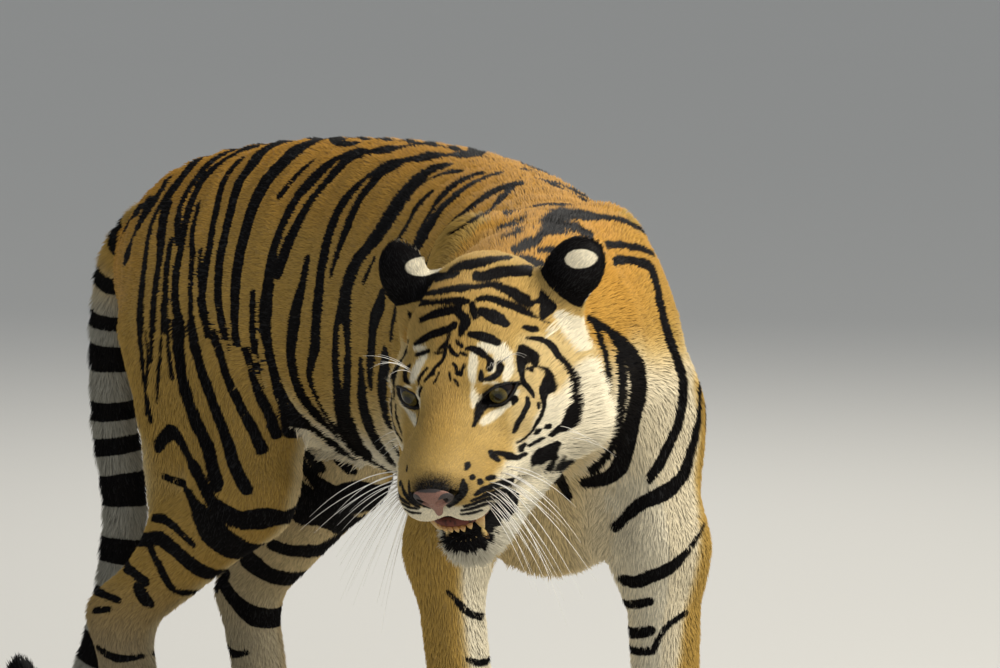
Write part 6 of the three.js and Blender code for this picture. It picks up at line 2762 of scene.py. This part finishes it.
@dataclass
class Mouth:
    """Upper and lower teeth, and the gum that they stand in."""

    # forward, sideways and up of the root, radius, length and backward bend of each tooth
    upper: tuple = (
        (119, 25, -66, 7, 24, -5), (128, 16.5, -74, 3.8, 8.5, -2), (132, 10, -75, 3.6, 8, -2),
        (133, 3.5, -75, 3.6, 8, -2),
    )
    lower: tuple = (
        (106, 20, -108, 5, 15, 2), (113, 13, -107, 3, 7, 1), (116, 8, -107, 2.8, 6, 1),
        (117, 2.8, -107, 2.8, 6, 1),
    )

    def build(self) -> None:
        """Each tooth is a tube that tapers from its root and bends back a little."""
        paths, radii = [], []
        t = np.linspace(0, 1, 8)
        for teeth, down in ((self.upper, -1), (self.lower, 1)):
            for forward, sideways, up, radius, length, bend in teeth:
                for sign in (1, -1):
                    line = [forward + bend * t**2, sign * sideways + 0 * t, up + down * length * t]
                    paths.append(on_head(np.stack(line, 1)))
                    radii.append(radius * (1 - 0.88 * t**1.7) * HEAD_SCALE * MM)
        vertices, triangles, along = Tube(10).build(np.array(paths), np.array(radii))
        material = ToothFinish().material()
        make_piece("teeth", vertices, triangles, material, {"along": along})
        gums = []
        for height, reach, wide in ((-70, 130, 26), (-108, 113, 21)):
            angle = np.linspace(-1.25, 1.25, 16)
            arch = [reach - 34 * (1 - np.cos(angle)), wide * 1.12 * np.sin(angle), height + 0 * angle]
            gums.append(on_head(np.stack(arch, 1)))
        vertices, triangles, _ = Tube(10).build(np.array(gums), np.full((2, 16), 6.4 * MM))
        make_piece("gums", vertices, triangles, GumFinish().material())


class Whiskers:
    """Stiff hairs in rows on the whisker pads, over the eyes and on the cheeks."""

    RINGS = 10
    PAST_LOW, PAST_HIGH = (0, -24, 0), (38, 24, 0)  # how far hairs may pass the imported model's box, in mm
    # height, rearmost and foremost hair, and count of each row on a whisker pad, in mm of the head's frame
    PAD_ROWS = (
        (-24, 100, 128, 4), (-31, 96, 136, 6), (-39, 95, 140, 7), (-47, 97, 138, 7), (-55, 100, 130, 5),
    )

    def __init__(self, skin: Skin) -> None:
        """Keeps the skin that they stand on."""
        self.skin = skin
        self.chance = np.random.default_rng(31)

    def roots(self) -> tuple[Array, Array, Array, Array]:
        """Where each hair stands, the way it starts, its length and its thickness.

        Returns:
            Four arrays, in the head's frame but for the last two, which are in metres.
        """
        rows = []
        for sign in (1, -1):
            for row, (up, first, last, count) in enumerate(self.PAD_ROWS):
                for forward in np.linspace(first, last, count):
                    back = (140 - forward) / 45
                    way = (0.35 - 0.45 * back, sign * (0.95 - 0.12 * row), -0.12 - 0.2 * row)
                    rows.append(((forward, sign * 60, up), way, 66 + 60 * back, 0.85 + 0.4 * back))
            for k in range(7):
                way = (0.45 - 0.09 * k, sign * (0.32 + 0.11 * k), 0.65)
                rows.append(((44 - 3 * k, sign * (30 + 4.4 * k), 60), way, 44 + 4 * (k % 3), 0.6))
            for k in range(3):
                rows.append(((10 - 8 * k, sign * 90, -30 - 12 * k), (-0.4, sign * 0.9, -0.3), 46, 0.6))
        places, ways, lengths, widths = (np.array(column, float) for column in zip(*rows))
        return places, ways, lengths * MM, widths * MM

    def build(self) -> None:
        """Each hair is a thin tube that leaves the skin and droops, shortened to stay close to the body."""
        places, ways, lengths, widths = self.roots()
        local = to_head(self.skin.vertices)
        head = np.flatnonzero(self.skin.part == Part.HEAD.value)
        outward = to_head(self.skin.vertices[head] + self.skin.normals[head] * MM) - local[head]
        chosen = []
        for place in places:
            gap = ((local[head] - place) * np.array([1.0, 0.25, 1.0])) ** 2
            facing = np.where(local[head, 1] * place[1] > 0, 0, 1e6)
            facing = facing + np.where(outward[:, 1] * place[1] > -0.2, 0, 400)
            chosen.append(head[np.argmin(gap.sum(1) + facing)])
        root = self.skin.vertices[chosen]
        start = ways @ HEAD_AXES.T + 0.35 * self.skin.normals[chosen]
        start = unit(start + self.chance.normal(0, 0.07, root.shape))
        t = np.linspace(0, 1, self.RINGS)[None, :, None]
        droop = np.array([0, 0, -1.0]) * self.chance.uniform(0.25, 0.55, (len(root), 1, 1))
        lengths = lengths * self.chance.uniform(0.8, 1.15, len(lengths))
        low = CAD_BOX[0] - SHIFT + np.array(self.PAST_LOW) * MM
        high = CAD_BOX[1] - SHIFT + np.array(self.PAST_HIGH) * MM
        for _ in range(12):
            line = root[:, None] + (start[:, None] * t + droop * t**2) * lengths[:, None, None]
            past = ((line < low) | (line > high)).any((1, 2))
            lengths = np.where(past, lengths * 0.88, lengths)
        line = root[:, None] + (start[:, None] * t + droop * t**2) * lengths[:, None, None]
        radii = widths[:, None] / 2 * (1 - 0.85 * t[:, :, 0] ** 1.3)
        vertices, triangles, along = Tube(5).build(line, radii)
        material = WhiskerFinish().material()
        make_piece("whiskers", vertices, triangles, material, {"along": along})


# ---- Floor, light and camera ----


@dataclass
class Studio:
    """A pale floor, soft light and the camera."""

    camera_place: tuple = (5.913, -4.022, 1.46)
    camera_heading: float = 145.0
    camera_down: float = 6.8
    lens: float = 217.6
    sensor: float = 36.0
    aim: tuple = (0.1, -0.05, 0.5)
    floor_reach: float = 14.0
    floor_drop: float = -0.0004  # just under the soles
    sky: tuple = (0.86, 0.90, 0.95, 1)
    sky_strength: float = 0.42
    # name, place, side in metres, power in watts and colour of each light
    lights: tuple = (
        ("key", (2.9, 1.0, 3.0), 1.4, 150, (1.0, 0.95, 0.86)),
        ("fill", (3.2, -3.6, 1.8), 2.4, 30, (0.95, 0.97, 1.0)),
        ("back", (-2.4, 2.2, 3.0), 2.0, 60, (1.0, 0.96, 0.88)),
    )

    def light(self, name: str, place: tuple, size: float, power: float, colour: tuple) -> None:
        """A square soft light that faces the tiger.

        Args:
            name: the light's name.
            place: where it hangs, in metres.
            size: its side.
            power: in watts.
            colour: red, green and blue.
        """
        lamp = bpy.data.lights.new(name, "AREA")
        lamp.energy, lamp.size, lamp.color = power, size, colour
        holder = bpy.data.objects.new(name, lamp)
        holder.location = place
        aim = np.array(self.aim) - np.array(place)
        tip = math.atan2(math.hypot(aim[0], aim[1]), -aim[2])
        holder.rotation_euler = (tip, 0, math.atan2(-aim[0], aim[1]))
        bpy.context.scene.collection.objects.link(holder)

    def build(self) -> None:
        """Makes it all."""
        scene = bpy.context.scene
        scene.view_settings.view_transform = "Standard"
        mesh = bpy.data.meshes.new("floor")
        signs = ((-1, -1), (1, -1), (1, 1), (-1, 1))
        corners = [(x * self.floor_reach, y * self.floor_reach, self.floor_drop) for x, y in signs]
        mesh.from_pydata(corners, [], [(0, 1, 2, 3)])
        mesh.materials.append(FloorFinish().material())
        floor = bpy.data.objects.new("floor", mesh)
        scene.collection.objects.link(floor)
        world = bpy.data.worlds.new("studio")
        world.use_nodes = True
        background = world.node_tree.nodes["Background"]
        background.inputs["Color"].default_value = self.sky
        background.inputs["Strength"].default_value = self.sky_strength
        scene.world = world
        for light in self.lights:
            self.light(*light)
        camera = bpy.data.cameras.new("camera")
        camera.lens, camera.sensor_width = self.lens, self.sensor
        camera.clip_end = 60
        holder = bpy.data.objects.new("camera", camera)
        holder.location = np.array(self.camera_place) + SHIFT
        turn = math.radians(self.camera_heading - 90)
        holder.rotation_euler = (math.radians(90 - self.camera_down), 0, turn)
        scene.collection.objects.link(holder)
        scene.camera = holder


def main() -> None:
    """Builds the tiger piece by piece, then the studio."""
    logging.basicConfig(level=logging.INFO, format="%(message)s")
    Studio().build()
    skin = Skin(Markings())
    skin.build()
    eye_finish = EyeFinish().material()
    Eyeball(EYES[0]).build("eyeball_left", "eye_left", eye_finish)
    Eyeball(EYES[1]).build("eyeball_right", "eye_right", eye_finish)
    NoseLeather().build()
    Mouth().build()
    Whiskers(skin).build()
    Coat(skin).build()


if __name__ == "__main__":
    main()
